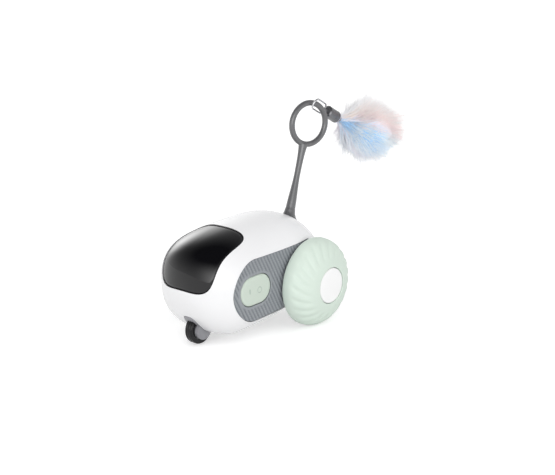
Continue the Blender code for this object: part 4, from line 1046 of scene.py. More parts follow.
def make_screws(material):
    """Cover screws with eased heads and a cross recess."""
    edge = SCREW_EDGE
    profile = [(SCREW_LENGTH, 0), (SCREW_LENGTH, SCREW_RADIUS), (0, SCREW_RADIUS), (0, SCREW_HEAD_RADIUS),
               (-SCREW_HEAD_HEIGHT + edge, SCREW_HEAD_RADIUS), (-SCREW_HEAD_HEIGHT, SCREW_HEAD_RADIUS - edge),
               (-SCREW_HEAD_HEIGHT, 0)]
    for index, (x, y) in enumerate(screw_places(), 1):
        face = screw_seat_z(x, y) - SCREW_HEAD_HEIGHT
        screw = add_object("screw", turned_mesh("screw", profile, SCREW_SEGMENTS, screw_place(x, y)))
        for long_side, short_side in ((0, 1), (1, 0)):
            half = (SCREW_SLOT_HALF[long_side], SCREW_SLOT_HALF[short_side])
            outline = [(half[0], half[1]), (-half[0], half[1]), (-half[0], -half[1]), (half[0], -half[1])]
            slot = prism_mesh("slot", outline, face - SCREW_EDGE, face + SCREW_SLOT_HALF[2],
                              lambda a, b, z, x=x, y=y: (x + a, y + b, z))
            combine(screw, slot, "DIFFERENCE")
        screw.data.set_sharp_from_angle(angle=SMOOTH_ANGLE)
        dress("cover_screw_%d" % index, screw, material, "body", "base_screw_%d" % index)


def surface_out(across, up, inset):
    """How far out the inset egg's surface lies on a line of the visor's prism."""
    low, high = VISOR_BACK - CUT_OVERRUN, VISOR_FRONT
    for _ in range(VISOR_SEARCH_STEPS):
        middle = (low + high) / 2
        if egg_value(*visor_place(across, up, middle), inset) < 0:
            low = middle
        else:
            high = middle
    return low


def make_visor(material):
    """Black window laid on the inset egg, with a rounded rim that drops into the casing."""
    outline = visor_outline(-FIT_GAP)
    reach = VISOR_EDGE / VISOR_HALF_WIDTH
    stations = []
    for i in range(VISOR_RINGS + 1):
        stations.append((max(i / VISOR_RINGS, VISOR_LEAST_SHARE) * (1.0 - reach), 0.0))
    for i in range(1, VISOR_EDGE_RINGS + 1):
        angle = i / VISOR_EDGE_RINGS * math.pi / 2
        stations.append((1.0 - reach + reach * math.sin(angle), VISOR_EDGE * (1.0 - math.cos(angle))))
    stations.append((1.0, VISOR_WALL))
    _, ahead = visor_axes()
    points = []
    for share, drop in stations:
        for across, up in outline:
            out = surface_out(across * share, up * share, VISOR_INSET)
            points.append(visor_place(across * share, up * share, out - drop))
    count = len(outline)
    faces = band_faces(len(stations), count, True) + [tuple(range(count))]
    mesh = mesh_from("visor_window", points, faces)
    return dress("visor_window", mesh, material, "body", "visor")


def stadium_distance(y, z, length, height):
    """Distance outside a slot shape about the origin."""
    reach = (length - height) / 2
    return math.hypot(max(abs(y) - reach, 0.0), z) - height / 2


def rib_drop(y, z, with_button):
    """Depth of the slanting grooves at a place on the panel."""
    y_centre, z_centre = panel_centre()
    across = (y - y_centre) * math.cos(RIB_LEAN) + (z - z_centre) * math.sin(RIB_LEAN)
    drop = RIB_DEPTH * (0.5 - 0.5 * math.cos(2 * math.pi * across / RIB_PITCH)) ** RIB_POWER
    if with_button:
        gap = stadium_distance(y - y_centre, z - z_centre, BUTTON_LENGTH, BUTTON_HEIGHT)
        drop *= smooth_step(gap, RIB_BORDER, RIB_BORDER + RIB_FADE)
    return drop


def panel_slab(side):
    """Closed slab with the ribbed face, wider than the panel."""
    y_centre, z_centre = panel_centre()
    length = REAR_Y - PANEL_FRONT_Y
    height = PANEL_TOP_Z - PANEL_LOW_Z
    middle = ((PANEL_FRONT_Y + REAR_Y) / 2, z_centre)
    half_across = (length * math.cos(RIB_LEAN) + height * math.sin(RIB_LEAN)) / 2
    half_along = (length * math.sin(RIB_LEAN) + height * math.cos(RIB_LEAN)) / 2
    columns = int(2 * half_across / RIB_ACROSS_STEP) + 2
    rows = int(2 * half_along / RIB_ALONG_STEP) + 2
    back = PANEL_FACE_X - PANEL_THICKNESS
    face, rear = [], []
    for i in range(rows):
        along = -half_along + i * 2 * half_along / (rows - 1)
        for j in range(columns):
            across = -half_across + j * 2 * half_across / (columns - 1)
            y = middle[0] + across * math.cos(RIB_LEAN) - along * math.sin(RIB_LEAN)
            z = middle[1] + across * math.sin(RIB_LEAN) + along * math.cos(RIB_LEAN)
            x = min(PANEL_FACE_X, max(egg_side(y, z, PANEL_SKIN), back + 2 * RIB_DEPTH))
            x -= rib_drop(y, z, side > 0)
            face.append((side * x, y, z))
            rear.append((side * back, y, z))
    count = rows * columns
    faces = band_faces(rows, columns, False)
    faces += [tuple(count + index for index in reversed(quad)) for quad in band_faces(rows, columns, False)]
    rim = [j for j in range(columns)] + [i * columns + columns - 1 for i in range(1, rows)]
    rim += [count - 1 - j for j in range(1, columns)] + [(rows - 1 - i) * columns for i in range(1, rows - 1)]
    for k, index in enumerate(rim):
        after = rim[(k + 1) % len(rim)]
        faces.append((index, after, count + after, count + index))
    return mesh_from("panel_slab", face + rear, faces)


def make_panels(material):
    """Ribbed side panels, with the holes for the axle and on the left for the button."""
    y_centre, z_centre = panel_centre()
    for side, label in ((1, "left"), (-1, "right")):
        panel = add_object("panel", panel_slab(side))
        low, high = PANEL_FACE_X - CUT_OVERRUN, PANEL_FACE_X + CUT_OVERRUN
        combine(panel, prism_mesh("outline", panel_outline(0), low, high, side_place(side)), "INTERSECT")
        combine(panel, egg_mesh("egg", 0, EGG_SEGMENTS // 2, EGG_RINGS // 2), "INTERSECT")
        bore = [(y, WHEEL_RADIUS + z) for y, z in ring_outline(AXLE_HOLE)]
        combine(panel, prism_mesh("bore", bore, low, high, side_place(side)), "DIFFERENCE")
        if side > 0:
            hole = [(y_centre + y, z_centre + z)
                    for y, z in stadium(BUTTON_LENGTH + 2 * FIT_GAP, BUTTON_HEIGHT + 2 * FIT_GAP)]
            combine(panel, prism_mesh("hole", hole, low, high, side_place(side)), "DIFFERENCE")
        panel.data.shade_smooth()
        panel.data.set_sharp_from_angle(angle=SMOOTH_ANGLE)
        dress("ribbed_panel_" + label, panel, material, "body", "side_panel_" + label)


def make_button(material, mark):
    """Oval button with a crowned face, a rolled edge and two faint marks."""
    y_centre, z_centre = panel_centre()
    outline = stadium(BUTTON_LENGTH, BUTTON_HEIGHT)
    count = len(outline)
    face = PANEL_FACE_X + BUTTON_PROUD
    inner = 1.0 - 2 * BUTTON_EDGE / BUTTON_HEIGHT
    points = []
    for i in range(1, BUTTON_RINGS - 1):
        share = i / BUTTON_RINGS
        points += [button_point(y * share * inner, z * share * inner, face, 0.0) for y, z in outline]
    for i in range(BUTTON_EDGE_STEPS + 1):
        angle = i / BUTTON_EDGE_STEPS * math.pi / 2
        share = inner + (1.0 - inner) * math.sin(angle)
        drop = BUTTON_EDGE * (1.0 - math.cos(angle))
        points += [button_point(y * share, z * share, face, drop) for y, z in outline]
    points += [(face - BUTTON_DEPTH, y_centre + y, z_centre + z) for y, z in outline]
    faces = band_faces(len(points) // count, count, True) + [tuple(range(count))]
    button = dress("push_button", mesh_from("push_button", points, faces), material, "button", "power_button")
    x = face + BUTTON_MARK_PROUD
    corner = BAR_MARK_HALF[0] * BAR_MARK_CORNER_SHARE
    bar = rounded_rectangle((-BAR_MARK_HALF[0], -BAR_MARK_HALF[1]), BAR_MARK_HALF, corner)
    bar = [(BAR_MARK[0] + y, BAR_MARK[1] + z) for y, z in bar]
    dress("button_bar", prism_mesh("button_bar", bar, face - BUTTON_EDGE, x, side_place(1)), mark, "button")
    path = [Vector((face - RING_MARK_WIDTH / 2, RING_MARK[0] + y, RING_MARK[1] + z))
            for y, z in ring_outline(RING_MARK_RADIUS)]
    ring = tube_mesh("button_ring", path, [RING_MARK_WIDTH] * len(path), True, RING_MARK_SIDES)
    dress("button_ring", ring, mark, "button")
    return button


def button_point(y, z, face, drop):
    """Point of the button's crowned face."""
    y_centre, z_centre = panel_centre()
    share = math.hypot(y / (BUTTON_LENGTH / 2), z / (BUTTON_HEIGHT / 2))
    return (face - BUTTON_CROWN * share * share - drop, y_centre + y, z_centre + z)


# Wheels

def wheel_place(side):
    """Places a turned point (along, y, z) on the rear axle."""
    return lambda p: (side * p[0], p[1], WHEEL_RADIUS + p[2])


def dome_radius(x, wall):
    """Radius of the wheel's dome at a distance out from its widest plane, inset by a wall."""
    share = min(x / (WHEEL_DOME - wall), 1.0)
    return (WHEEL_RADIUS - wall) * (1.0 - share ** WHEEL_DOME_POWER) ** (1.0 / WHEEL_DOME_POWER)


def dome_depth(radius, wall):
    """Distance out from the widest plane at which the inset dome has this radius."""
    share = radius / (WHEEL_RADIUS - wall)
    return (WHEEL_DOME - wall) * (1.0 - share ** WHEEL_DOME_POWER) ** (1.0 / WHEEL_DOME_POWER)


def dome_points(edge, wall, steps):
    """Dome profile from its hub edge down to the widest plane."""
    depth = dome_depth(edge, wall)
    points = []
    for i in range(steps + 1):
        x = depth * math.sin((1.0 - i / steps) * math.pi / 2)
        points.append((WHEEL_PLANE_X + x, dome_radius(x, wall)))
    return points


def swirl(along, radius, angle):
    """Sink the tyre's curved grooves into its dome."""
    share = radius / WHEEL_RADIUS
    if share < SWIRL_START or along < WHEEL_PLANE_X - WHEEL_BACK / 2:
        return along, radius
    climb = (share - SWIRL_START) / (1.0 - SWIRL_START)
    turn = SWIRL_TURN * climb ** SWIRL_POWER
    wave = (0.5 - 0.5 * math.cos((angle + turn) * SWIRL_RIDGES)) ** SWIRL_SHARPNESS
    wave *= smooth_step(share, SWIRL_START, SWIRL_FULL) * (1.0 - smooth_step(share, SWIRL_FADE, 1.0))
    drop = SWIRL_DEPTH * wave
    slope = math.atan2(radius / WHEEL_RADIUS, (along - WHEEL_PLANE_X) / WHEEL_DOME)
    return along - drop * math.cos(slope), radius - drop * math.sin(slope)


def make_tyres(material):
    """Domed tyres with soft swirling grooves, a rolled lip at the hub and a rounded back edge."""
    lip = HUB_RADIUS + FIT_GAP
    dome = dome_points(lip + TYRE_LIP, 0, DOME_STEPS)
    top = dome[0][0]
    rolled = [(top - 2 * TYRE_LIP, lip), (top - TYRE_LIP / 2, lip), (top, lip + TYRE_LIP / 2)]
    back = WHEEL_PLANE_X - WHEEL_BACK
    rim = [(back + TYRE_BACK_EASE, WHEEL_RADIUS - TYRE_BACK_EASE), (back, WHEEL_RADIUS - TYRE_BACK_DROP),
           (back, WHEEL_RADIUS - TYRE_WALL)]
    inner = dome_points(lip, TYRE_WALL, TYRE_INNER_STEPS)
    profile = rolled + dome + rim + inner[::-1]
    for side, label in ((1, "left"), (-1, "right")):
        mesh = turned_mesh("swirl_tyre", profile, SWIRL_RIDGES * SWIRL_STEPS, wheel_place(side), True, swirl)
        dress("swirl_tyre_" + label, mesh, material, "wheel_" + label, "tyre_" + label)


def make_hub_caps(material):
    """Slightly crowned hub caps with a rolled edge."""
    edge = HUB_CAP_EDGE
    profile = []
    for i in range(HUB_CAP_RINGS + 1):
        radius = (HUB_RADIUS - edge) * i / HUB_CAP_RINGS
        profile.append((HUB_CAP_FACE_X - HUB_CAP_CROWN * (radius / HUB_RADIUS) ** 2, radius))
    face = profile[-1][0]
    for i in range(1, HUB_CAP_EDGE_STEPS + 1):
        angle = i / HUB_CAP_EDGE_STEPS * math.pi / 2
        profile.append((face - edge * (1.0 - math.cos(angle)), HUB_RADIUS - edge + edge * math.sin(angle)))
    profile += [(HUB_CAP_FACE_X - HUB_CAP_THICKNESS, HUB_RADIUS), (HUB_CAP_FACE_X - HUB_CAP_THICKNESS, 0)]
    for side, label in ((1, "left"), (-1, "right")):
        mesh = turned_mesh("wheel_cap", profile, HUB_CAP_SEGMENTS, wheel_place(side))
        dress("wheel_cap_" + label, mesh, material, "wheel_" + label, "hub_cap_" + label)


# Front roller

def roller_place(p):
    """Places a turned point (along, y, z) on the roller's pin."""
    return (p[0], ROLLER_Y + p[1], ROLLER_RADIUS + p[2])


def make_roller(rubber, plastic):
    """Black roller tyre with two soft grooves, and its grey hub with a raised boss."""
    bore = ROLLER_HUB_RADIUS + FIT_GAP
    outer = []
    for i in range(2 * ROLLER_HALF_STEPS + 1):
        x = ROLLER_HALF_WIDTH * (1.0 - i / ROLLER_HALF_STEPS)
        shoulder = max(abs(x) - (ROLLER_HALF_WIDTH - ROLLER_SHOULDER), 0.0)
        radius = ROLLER_RADIUS - ROLLER_SHOULDER + math.sqrt(max(ROLLER_SHOULDER ** 2 - shoulder ** 2, 0.0))
        groove = max(1.0 - abs(abs(x) - ROLLER_GROOVE_X) / ROLLER_GROOVE, 0.0)
        outer.append((x, radius - ROLLER_GROOVE * smooth_step(groove, 0.0, 1.0)))
    profile = [(ROLLER_HALF_WIDTH, bore)] + outer + [(-ROLLER_HALF_WIDTH, bore)]
    dress("roller_tyre", turned_mesh("roller_tyre", profile, ROLLER_SEGMENTS, roller_place, True), rubber,
          "roller", "front_tyre")
    face = ROLLER_HALF_WIDTH - FIT_GAP
    pin = ROLLER_PIN_RADIUS + FIT_GAP
    edge = ROLLER_HUB_RADIUS
    half = [(face, pin), (face, pin + BOSS_FLAT), (face - DISH_DEPTH, pin + BOSS_FOOT),
            (face - DISH_DEPTH, edge - DISH_RIM), (face, edge - HUB_FACE_RIM), (face, edge - HUB_RIM_EASE),
            (face - HUB_RIM_DROP, edge)]
    profile = half + [(-x, radius) for x, radius in reversed(half)]
    dress("roller_hub", turned_mesh("roller_hub", profile, ROLLER_SEGMENTS, roller_place, True), plastic,
          "roller", "front_hub")


def make_well(material):
    """Grey slot lining with its round cheeks and a lip round its mouth."""
    width = WELL_HALF_WIDTH + WELL_WALL
    well = add_object("roller_slot", well_prism(width, 0, WELL_ROOF_Z))
    combine(well, egg_mesh("egg", -WELL_LIP, EGG_SEGMENTS, EGG_RINGS), "INTERSECT")
    profile = [(-width, 0), (-width, WELL_CHEEK_RADIUS), (width, WELL_CHEEK_RADIUS), (width, 0)]
    combine(well, turned_mesh("cheeks", profile, ROLLER_SEGMENTS, roller_place), "UNION")
    combine(well, well_prism(WELL_HALF_WIDTH, -WELL_WALL, WELL_ROOF_Z - WELL_WALL), "DIFFERENCE")
    round_edges(well, WELL_LIP * WELL_BEVEL_SHARE, WELL_BEVEL_ANGLE, True)
    return dress("roller_slot", well, material, "body", "roller_well")


def make_charger(material):
    """Tongue inside the charging socket."""
    half = CHARGER_TONGUE_HALF
    corner = half[2] * CHARGER_TONGUE_CORNER_SHARE
    outline = rounded_rectangle((-half[0], -half[2]), (half[0], half[2]), corner)
    y = REAR_Y - CHARGER_SUNK - half[1]
    mesh = prism_mesh("socket_tongue", outline, y - 2 * half[1], y,
                      lambda x, z, along: (x, along, CHARGER_Z + z))
    dress("socket_tongue", mesh, material, "body")


# Tail

def ring_axes():
    """The tail ring's normal and its level in-plane axis."""
    turn = TAIL_RING_TURN
    return Vector((math.cos(turn), -math.sin(turn), 0)), Vector((math.sin(turn), math.cos(turn), 0))


def ring_foot():
    """Point of the ring's centre line that is nearest the hinge."""
    normal, _ = ring_axes()
    toward = Vector(TAIL_HINGE) - Vector(TAIL_RING_CENTRE)
    toward -= normal * toward.dot(normal)
    return Vector(TAIL_RING_CENTRE) + toward.normalized() * TAIL_RING_RADIUS


def rod_radius(share):
    """Rod radius along its length: it tapers from the base and swells into the ring's neck."""
    taper = mix(TAIL_BASE_RADIUS, TAIL_WAIST_RADIUS, smooth_step(share, 0.0, TAIL_WAIST_SHARE))
    return taper + (TAIL_NECK_RADIUS - TAIL_WAIST_RADIUS) * share ** TAIL_SWELL_POWER


def make_tail(material):
    """One soft moulding: the flared foot on the casing, the rod and the ring."""
    hinge = Vector(TAIL_HINGE)
    turn = tail_turn()
    profile = [(SOCKET_ABOVE, 0), (SOCKET_ABOVE, TAIL_BASE_RADIUS * FOOT_TOP_SHARE)]
    for i in range(TAIL_STEPS + 1):
        share = i / TAIL_STEPS
        radius = SOCKET_RIM_RADIUS + SOCKET_FLARE * share ** SOCKET_FLARE_POWER
        profile.append((-SOCKET_FLARE_DEPTH * share, radius))
    profile.append((-SOCKET_FLARE_DEPTH, 0))
    foot = turned_mesh("tail_moulding", profile, FOOT_SEGMENTS,
                       lambda p: hinge + turn @ Vector((p[1], p[2], p[0])))
    tail = add_object("tail_moulding", foot)
    shares = [i / TAIL_STEPS for i in range(TAIL_STEPS + 1)]
    end = ring_foot()
    path = [hinge.lerp(end, share) for share in shares]
    combine(tail, tube_mesh("rod", path, [rod_radius(share) for share in shares], False, TAIL_SIDES), "UNION")
    _, level = ring_axes()
    path = []
    for i in range(TAIL_RING_STEPS):
        angle = 2 * math.pi * i / TAIL_RING_STEPS
        outward = level * math.cos(angle) + Vector((0, 0, math.sin(angle)))
        path.append(Vector(TAIL_RING_CENTRE) + outward * TAIL_RING_RADIUS)
    combine(tail, tube_mesh("ring", path, [TAIL_TUBE_RADIUS] * TAIL_RING_STEPS, True, TAIL_SIDES), "UNION")
    remesh = tail.modifiers.new("remesh", "REMESH")
    remesh.mode = "VOXEL"
    remesh.voxel_size = TAIL_VOXEL
    remesh.use_smooth_shade = True
    relax = tail.modifiers.new("relax", "SMOOTH")
    relax.factor = TAIL_SMOOTH_FACTOR
    relax.iterations = TAIL_SMOOTHING
    bake(tail)
    dress("tail_moulding", tail, material, None, "tail", "tail_socket")
    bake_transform(tail)
    return tail


# Wire loop, ferrule and tuft

def loop_axes():
    """The wire loop's long axis, width axis and the ferrule's direction."""
    along = Vector((0, math.cos(FERRULE_DROP), -math.sin(FERRULE_DROP)))
    rise = Vector((0, math.sin(FERRULE_DROP), math.cos(FERRULE_DROP)))
    wide = rise * math.cos(LOOP_ROLL) + Vector((1, 0, 0)) * math.sin(LOOP_ROLL)
    long_axis = along * math.cos(LOOP_SLANT) - along.cross(wide) * math.sin(LOOP_SLANT)
    return long_axis, wide, along


def loop_centre():
    """Centre of the wire loop, on the centre line of the ring's tube."""
    _, level = ring_axes()
    outward = level * math.sin(LOOP_STATION) + Vector((0, 0, math.cos(LOOP_STATION)))
    return Vector(TAIL_RING_CENTRE) + outward * TAIL_RING_RADIUS


def loop_end():
    """Middle of the loop's far end, which is the ferrule's pivot."""
    long_axis, _, _ = loop_axes()
    return loop_centre() + long_axis * LOOP_HALF_LENGTH


def make_loop(material):
    """Oval loop of bright wire through the tail's ring."""
    long_axis, wide, _ = loop_axes()
    reach = LOOP_HALF_LENGTH - LOOP_HALF_WIDTH
    path = []
    for side in (1, -1):
        for i in range(LOOP_ARC_STEPS + 1):
            angle = (i / LOOP_ARC_STEPS - 0.5) * math.pi
            along = side * (reach + LOOP_HALF_WIDTH * math.cos(angle))
            path.append(loop_centre() + long_axis * along + wide * (side * LOOP_HALF_WIDTH * math.sin(angle)))
    mesh = tube_mesh("bright_wire", path, [LOOP_WIRE_RADIUS] * len(path), True, LOOP_SIDES)
    return dress("bright_wire", mesh, material, "loop", "wire_loop")


def ferrule_place(p):
    """Places a turned point (along, a, b) on the ferrule's axis."""
    _, wide, along = loop_axes()
    return loop_end() + along * p[0] + wide * p[1] + along.cross(wide) * p[2]


def make_ferrule(metal, lilac, thread):
    """Crimped ferrule with its lug, and the tied root that leaves its mouth."""
    edge = FERRULE_EDGE
    profile = [(FERRULE_START, 0), (FERRULE_START, FERRULE_RADIUS - edge)]
    crimp_at = mix(FERRULE_START, MOUTH_END, FERRULE_CRIMP_SHARE)
    for i in range(FERRULE_STEPS + 1):
        along = mix(FERRULE_START + edge, MOUTH_END, i / FERRULE_STEPS)
        crimp = max(1.0 - abs(along - crimp_at) / FERRULE_CRIMP_HALF, 0.0)
        profile.append((along, FERRULE_RADIUS - FERRULE_CRIMP * smooth_step(crimp, 0.0, 1.0)))
    profile += [(MOUTH_END, COLLAR_RADIUS - FIT_GAP), (MOUTH_END - edge, COLLAR_RADIUS - FIT_GAP),
                (MOUTH_END - edge, 0)]
    dress("crimp", turned_mesh("crimp", profile, FERRULE_SEGMENTS, ferrule_place), metal, "teaser", "ferrule")
    dress("crimp_lug", lug_mesh(), metal, "teaser")
    collar = [(MOUTH_END, 0), (MOUTH_END, COLLAR_RADIUS), (MOUTH_END + COLLAR_LENGTH / 2, COLLAR_RADIUS),
              (MOUTH_END + COLLAR_LENGTH, COLLAR_RADIUS - FIT_GAP), (MOUTH_END + COLLAR_LENGTH, 0)]
    dress("tuft_collar", turned_mesh("tuft_collar", collar, COLLAR_SEGMENTS, ferrule_place), lilac, "teaser")
    knot = []
    start = MOUTH_END + COLLAR_LENGTH
    for i in range(KNOT_STEPS + 1):
        share = i / KNOT_STEPS
        bulge = math.sin(share * math.pi) ** 0.5 if 0 < share < 1 else 0.0
        winding = 1.0 + KNOT_RELIEF * math.cos(share * KNOT_HALF_TURNS * math.pi)
        knot.append((start + KNOT_LENGTH * share, KNOT_RADIUS * bulge * winding))
    dress("tuft_knot", turned_mesh("tuft_knot", knot, KNOT_SEGMENTS, ferrule_place), thread, "teaser")


def lug_mesh():
    """Lug between the ferrule and the loop's wire, with its eye."""
    _, wide, along = loop_axes()
    across = along.cross(wide)
    radius = LOOP_WIRE_RADIUS + FIT_GAP + LUG_WALL
    reach = FERRULE_START + FERRULE_EDGE
    outline = [(reach, radius)]
    for i in range(LUG_STEPS + 1):
        angle = (0.5 + i / LUG_STEPS) * math.pi
        outline.append((radius * math.cos(angle), radius * math.sin(angle)))
    outline.append((reach, -radius))
    place = lambda a, b, c: loop_end() + along * a + across * b + wide * c
    item = add_object("lug", prism_mesh("lug", outline, -LUG_THICKNESS / 2, LUG_THICKNESS / 2, place))
    eye = ring_outline(LOOP_WIRE_RADIUS + FIT_GAP / 2)
    combine(item, prism_mesh("hole", eye, -LUG_THICKNESS, LUG_THICKNESS, place), "DIFFERENCE")
    round_edges(item, LUG_EDGE, SMOOTH_ANGLE)
    item.data.shade_smooth()
    item.data.set_sharp_from_angle(angle=SMOOTH_ANGLE)
    return item


def tuft_axes():
    """The tuft's own direction, its upward side and its left side."""
    turn = Euler((-math.pi / 2 - TUFT_DROP, 0, -TUFT_TURN)).to_matrix()
    axis = turn @ Vector((0, 0, 1))
    up = (Vector((0, 0, 1)) - axis * axis.z).normalized()
    return axis, up, up.cross(axis)


def tuft_start():
    """Where the tuft's solid starts, just outside the ferrule."""
    _, _, along = loop_axes()
    return loop_end() + along * (FERRULE_END + FIT_GAP + TUFT_ROOT_OUT)


def tuft_colour(turn, share):
    """Colour by the angle round the tuft, in degrees, and the share of the way to the tip."""
    for (low, root_a, tip_a), (high, root_b, tip_b) in zip(TUFT_BANDS, TUFT_BANDS[1:]):
        if turn <= high:
            part = (turn - low) / (high - low)
            fade = smooth_step(share, COLOUR_FADE_START, 1.0)
            return [mix(mix(ra, rb, part), mix(ta, tb, part), fade)
                    for ra, rb, ta, tb in zip(root_a, root_b, tip_a, tip_b)]
    return list(TUFT_BANDS[-1][1])


def tuft_tip(turn, tilt, reach):
    """Point on or inside the tuft's rounded form, by its angle round the axis and its tilt from the axis."""
    axis, up, left = tuft_axes()
    half = TUFT_LENGTH / 2
    out = up * math.cos(turn) - left * math.sin(turn)
    along = half * (1.0 + math.cos(tilt) * reach)
    return tuft_start() + axis * along + out * (TUFT_RADIUS * math.sin(tilt) * reach)


def strand_path(root, tip, lift):
    """Points of one strand, which leaves the root along the axis and curves to its tip."""
    axis, _, _ = tuft_axes()
    span = (tip - root).length
    control = root + axis * (span * STRAND_LEAN) + (tip - root) * STRAND_LEAN + lift
    points = []
    for i in range(STRAND_STEPS):
        share = i / (STRAND_STEPS - 1)
        points.append(root * (1 - share) ** 2 + control * (2 * share * (1 - share)) + tip * share ** 2)
    return points


def make_tuft(material):
    """Plush tuft: clumps of tapered strands that spring from the tied root, over a soft core."""
    rng = random.Random(TUFT_SEED)
    points, faces, colours = [], [], []
    for clump in range(TUFT_CLUMPS):
        turn = GOLDEN_TURN * clump
        spread = 1.0 - TUFT_COVER * (clump + 0.5) / TUFT_CLUMPS
        tilt = math.acos(max(min(spread, 1.0), -1.0))
        reach = rng.uniform(*CLUMP_REACH) * (1.0 + TUFT_CREST * max(math.cos(turn), 0.0))
        peak = tuft_tip(turn, tilt, reach)
        for _ in range(TUFT_STRANDS):
            side = rng.gauss(0, CLUMP_SPREAD)
            swing = rng.gauss(0, CLUMP_SPREAD)
            short = rng.uniform(0.0, 1.0) ** 2
            strand_turn = turn + swing / max(math.sin(tilt), CLUMP_LEAST_SINE)
            strand_tilt = min(max(tilt + side, 0.0), TUFT_BACK)
            centred = math.exp(-(side * side + swing * swing) / (2 * CLUMP_SPREAD ** 2))
            strand_reach = reach * mix(CLUMP_EDGE_REACH, 1.0, centred) * mix(1.0, SHORT_REACH, short)
            tip = tuft_tip(strand_turn, strand_tilt, strand_reach)
            tip = tip.lerp(peak, CLUMP_GATHER * (1.0 - short))
            scatter = Vector((rng.gauss(0, 1), rng.gauss(0, 1), rng.gauss(0, 1)))
            root = tuft_start() + scatter * ROOT_SCATTER
            degrees = math.degrees((strand_turn + math.pi) % (2 * math.pi) - math.pi)
            degrees += rng.gauss(0, COLOUR_WANDER)
            degrees = (degrees + 180) % 360 - 180
            path = strand_path(root, tip, scatter * STRAND_SCATTER)
            add_strand(path, degrees, rng, points, faces, colours)
    mesh = coloured_mesh("plush_tuft", points, faces, colours)
    return dress("plush_tuft", mesh, material, "teaser", "tuft")


def add_strand(path, degrees, rng, points, faces, colours):
    """Add one tapered three-sided strand."""
    base = len(points)
    side = Vector((rng.gauss(0, 1), rng.gauss(0, 1), rng.gauss(0, 1)))
    bright = rng.uniform(*STRAND_BRIGHTNESS)
    for i, place in enumerate(path):
        share = i / (len(path) - 1)
        along = (path[min(i + 1, len(path) - 1)] - path[max(i - 1, 0)]).normalized()
        across = along.cross(side).normalized()
        over = along.cross(across)
        radius = STRAND_RADIUS * (1.0 - STRAND_TAPER * share ** 3)
        colour = [min(value * bright, 1.0) for value in tuft_colour(degrees, share)]
        for corner in range(STRAND_SIDES):
            angle = 2 * math.pi * corner / STRAND_SIDES
            points.append(place + (across * math.cos(angle) + over * math.sin(angle)) * radius)
            colours.append(colour)
    faces += [tuple(base + index for index in face) for face in band_faces(len(path), STRAND_SIDES, True)]


def make_core(material):
    """Soft inner body of the tuft, which closes the gaps between its strands."""
    points, colours = [], []
    for i in range(CORE_ROWS + 1):
        tilt = math.pi * i / CORE_ROWS
        for j in range(CORE_STEPS):
            turn = 2 * math.pi * j / CORE_STEPS
            place = (math.cos(turn) * CORE_RIPPLE_ROUND, math.sin(turn) * CORE_RIPPLE_ROUND,
                     tilt * CORE_RIPPLE_ALONG)
            ripple = noise.noise(Vector(place))
            points.append(tuft_tip(turn, tilt, CORE_SHARE * (1.0 + CORE_RIPPLE * ripple)))
            degrees = (math.degrees(turn) + 180) % 360 - 180
            colours.append(tuft_colour(degrees, (1.0 + math.cos(tilt)) / 2))
    mesh = coloured_mesh("tuft_core", points, band_faces(CORE_ROWS + 1, CORE_STEPS, True), colours)
    mesh.shade_smooth()
    return dress("tuft_core", mesh, material, "teaser")


# Inner pieces keep their solids

def finish_inner_pieces():
    """Give the CAD solids that stay their materials."""
    by_slot = {
        "steel": brushed_steel(), "brass": turned_brass(), "gear_plastic": gear_white(),
        "board_green": board_green(), "switch_black": switch_black(), "battery_wrap": battery_wrap(),
        "inner_grey": inner_grey(), "hub_white": cap_white(),
    }
    for part in frame["record"]["subparts"]:
        node = frame["nodes"][part["node"]]
        material = by_slot.get(part["material_slot"])
        if material and not node.hide_render:
            for slot in node.material_slots:
                slot.material = material


# Studio

def make_camera():
    """Camera at the photograph's angle."""
    data = bpy.data.cameras.new("camera")
    data.lens = CAMERA_LENS
    data.sensor_width = CAMERA_SENSOR
    data.sensor_fit = "HORIZONTAL"
    camera = bpy.data.objects.new("camera", data)
    bpy.context.scene.collection.objects.link(camera)
    back = Vector((math.sin(CAMERA_AZIMUTH) * math.cos(CAMERA_ELEVATION),
                   -math.cos(CAMERA_AZIMUTH) * math.cos(CAMERA_ELEVATION), math.sin(CAMERA_ELEVATION)))
    right = Vector((math.cos(CAMERA_AZIMUTH), math.sin(CAMERA_AZIMUTH), 0))
    up = back.cross(right)
    tilted = right * math.cos(CAMERA_ROLL) + up * math.sin(CAMERA_ROLL)
    up = back.cross(tilted)
    camera.matrix_world = (Matrix.Translation(Vector(CAMERA_AIM) + back * CAMERA_DISTANCE)
                           @ Matrix((tilted, up, back)).transposed().to_4x4())
    bpy.context.scene.camera = camera


def make_floor():
    """White floor that shows the object's soft shadow."""
    half = FLOOR_HALF
    mesh = bpy.data.meshes.new("floor")
    corners = [(-half, -half, 0), (half, -half, 0), (half, half, 0), (-half, half, 0)]
    mesh.from_pydata(corners, [], [(0, 1, 2, 3)])
    floor = add_object("floor", mesh)
    material, nodes, links, shader = new_material("floor_white")
    shader.inputs["Base Color"].default_value = FLOOR_COLOUR
    shader.inputs["Roughness"].default_value = FLOOR_ROUGH
    shader.inputs["Specular IOR Level"].default_value = 0.0
    glow = nodes.new("ShaderNodeEmission")
    total = nodes.new("ShaderNodeAddShader")
    _, seen = background_rays(nodes, links)
    links.new(add_math(nodes, links, "MULTIPLY", seen, FLOOR_GLOW), glow.inputs["Strength"])
    links.new(shader.outputs["BSDF"], total.inputs[0])
    links.new(glow.outputs["Emission"], total.inputs[1])
    links.new(total.outputs["Shader"], nodes["Material Output"].inputs["Surface"])
    mesh.materials.append(material)


def background_rays(nodes, links):
    """Whether a ray comes from the camera, and whether it shows the background in any way."""
    path = nodes.new("ShaderNodeLightPath")
    seen = path.outputs["Is Camera Ray"]
    for kind in ("Is Glossy Ray", "Is Transmission Ray"):
        seen = add_math(nodes, links, "MAXIMUM", seen, path.outputs[kind])
    return path.outputs["Is Camera Ray"], seen


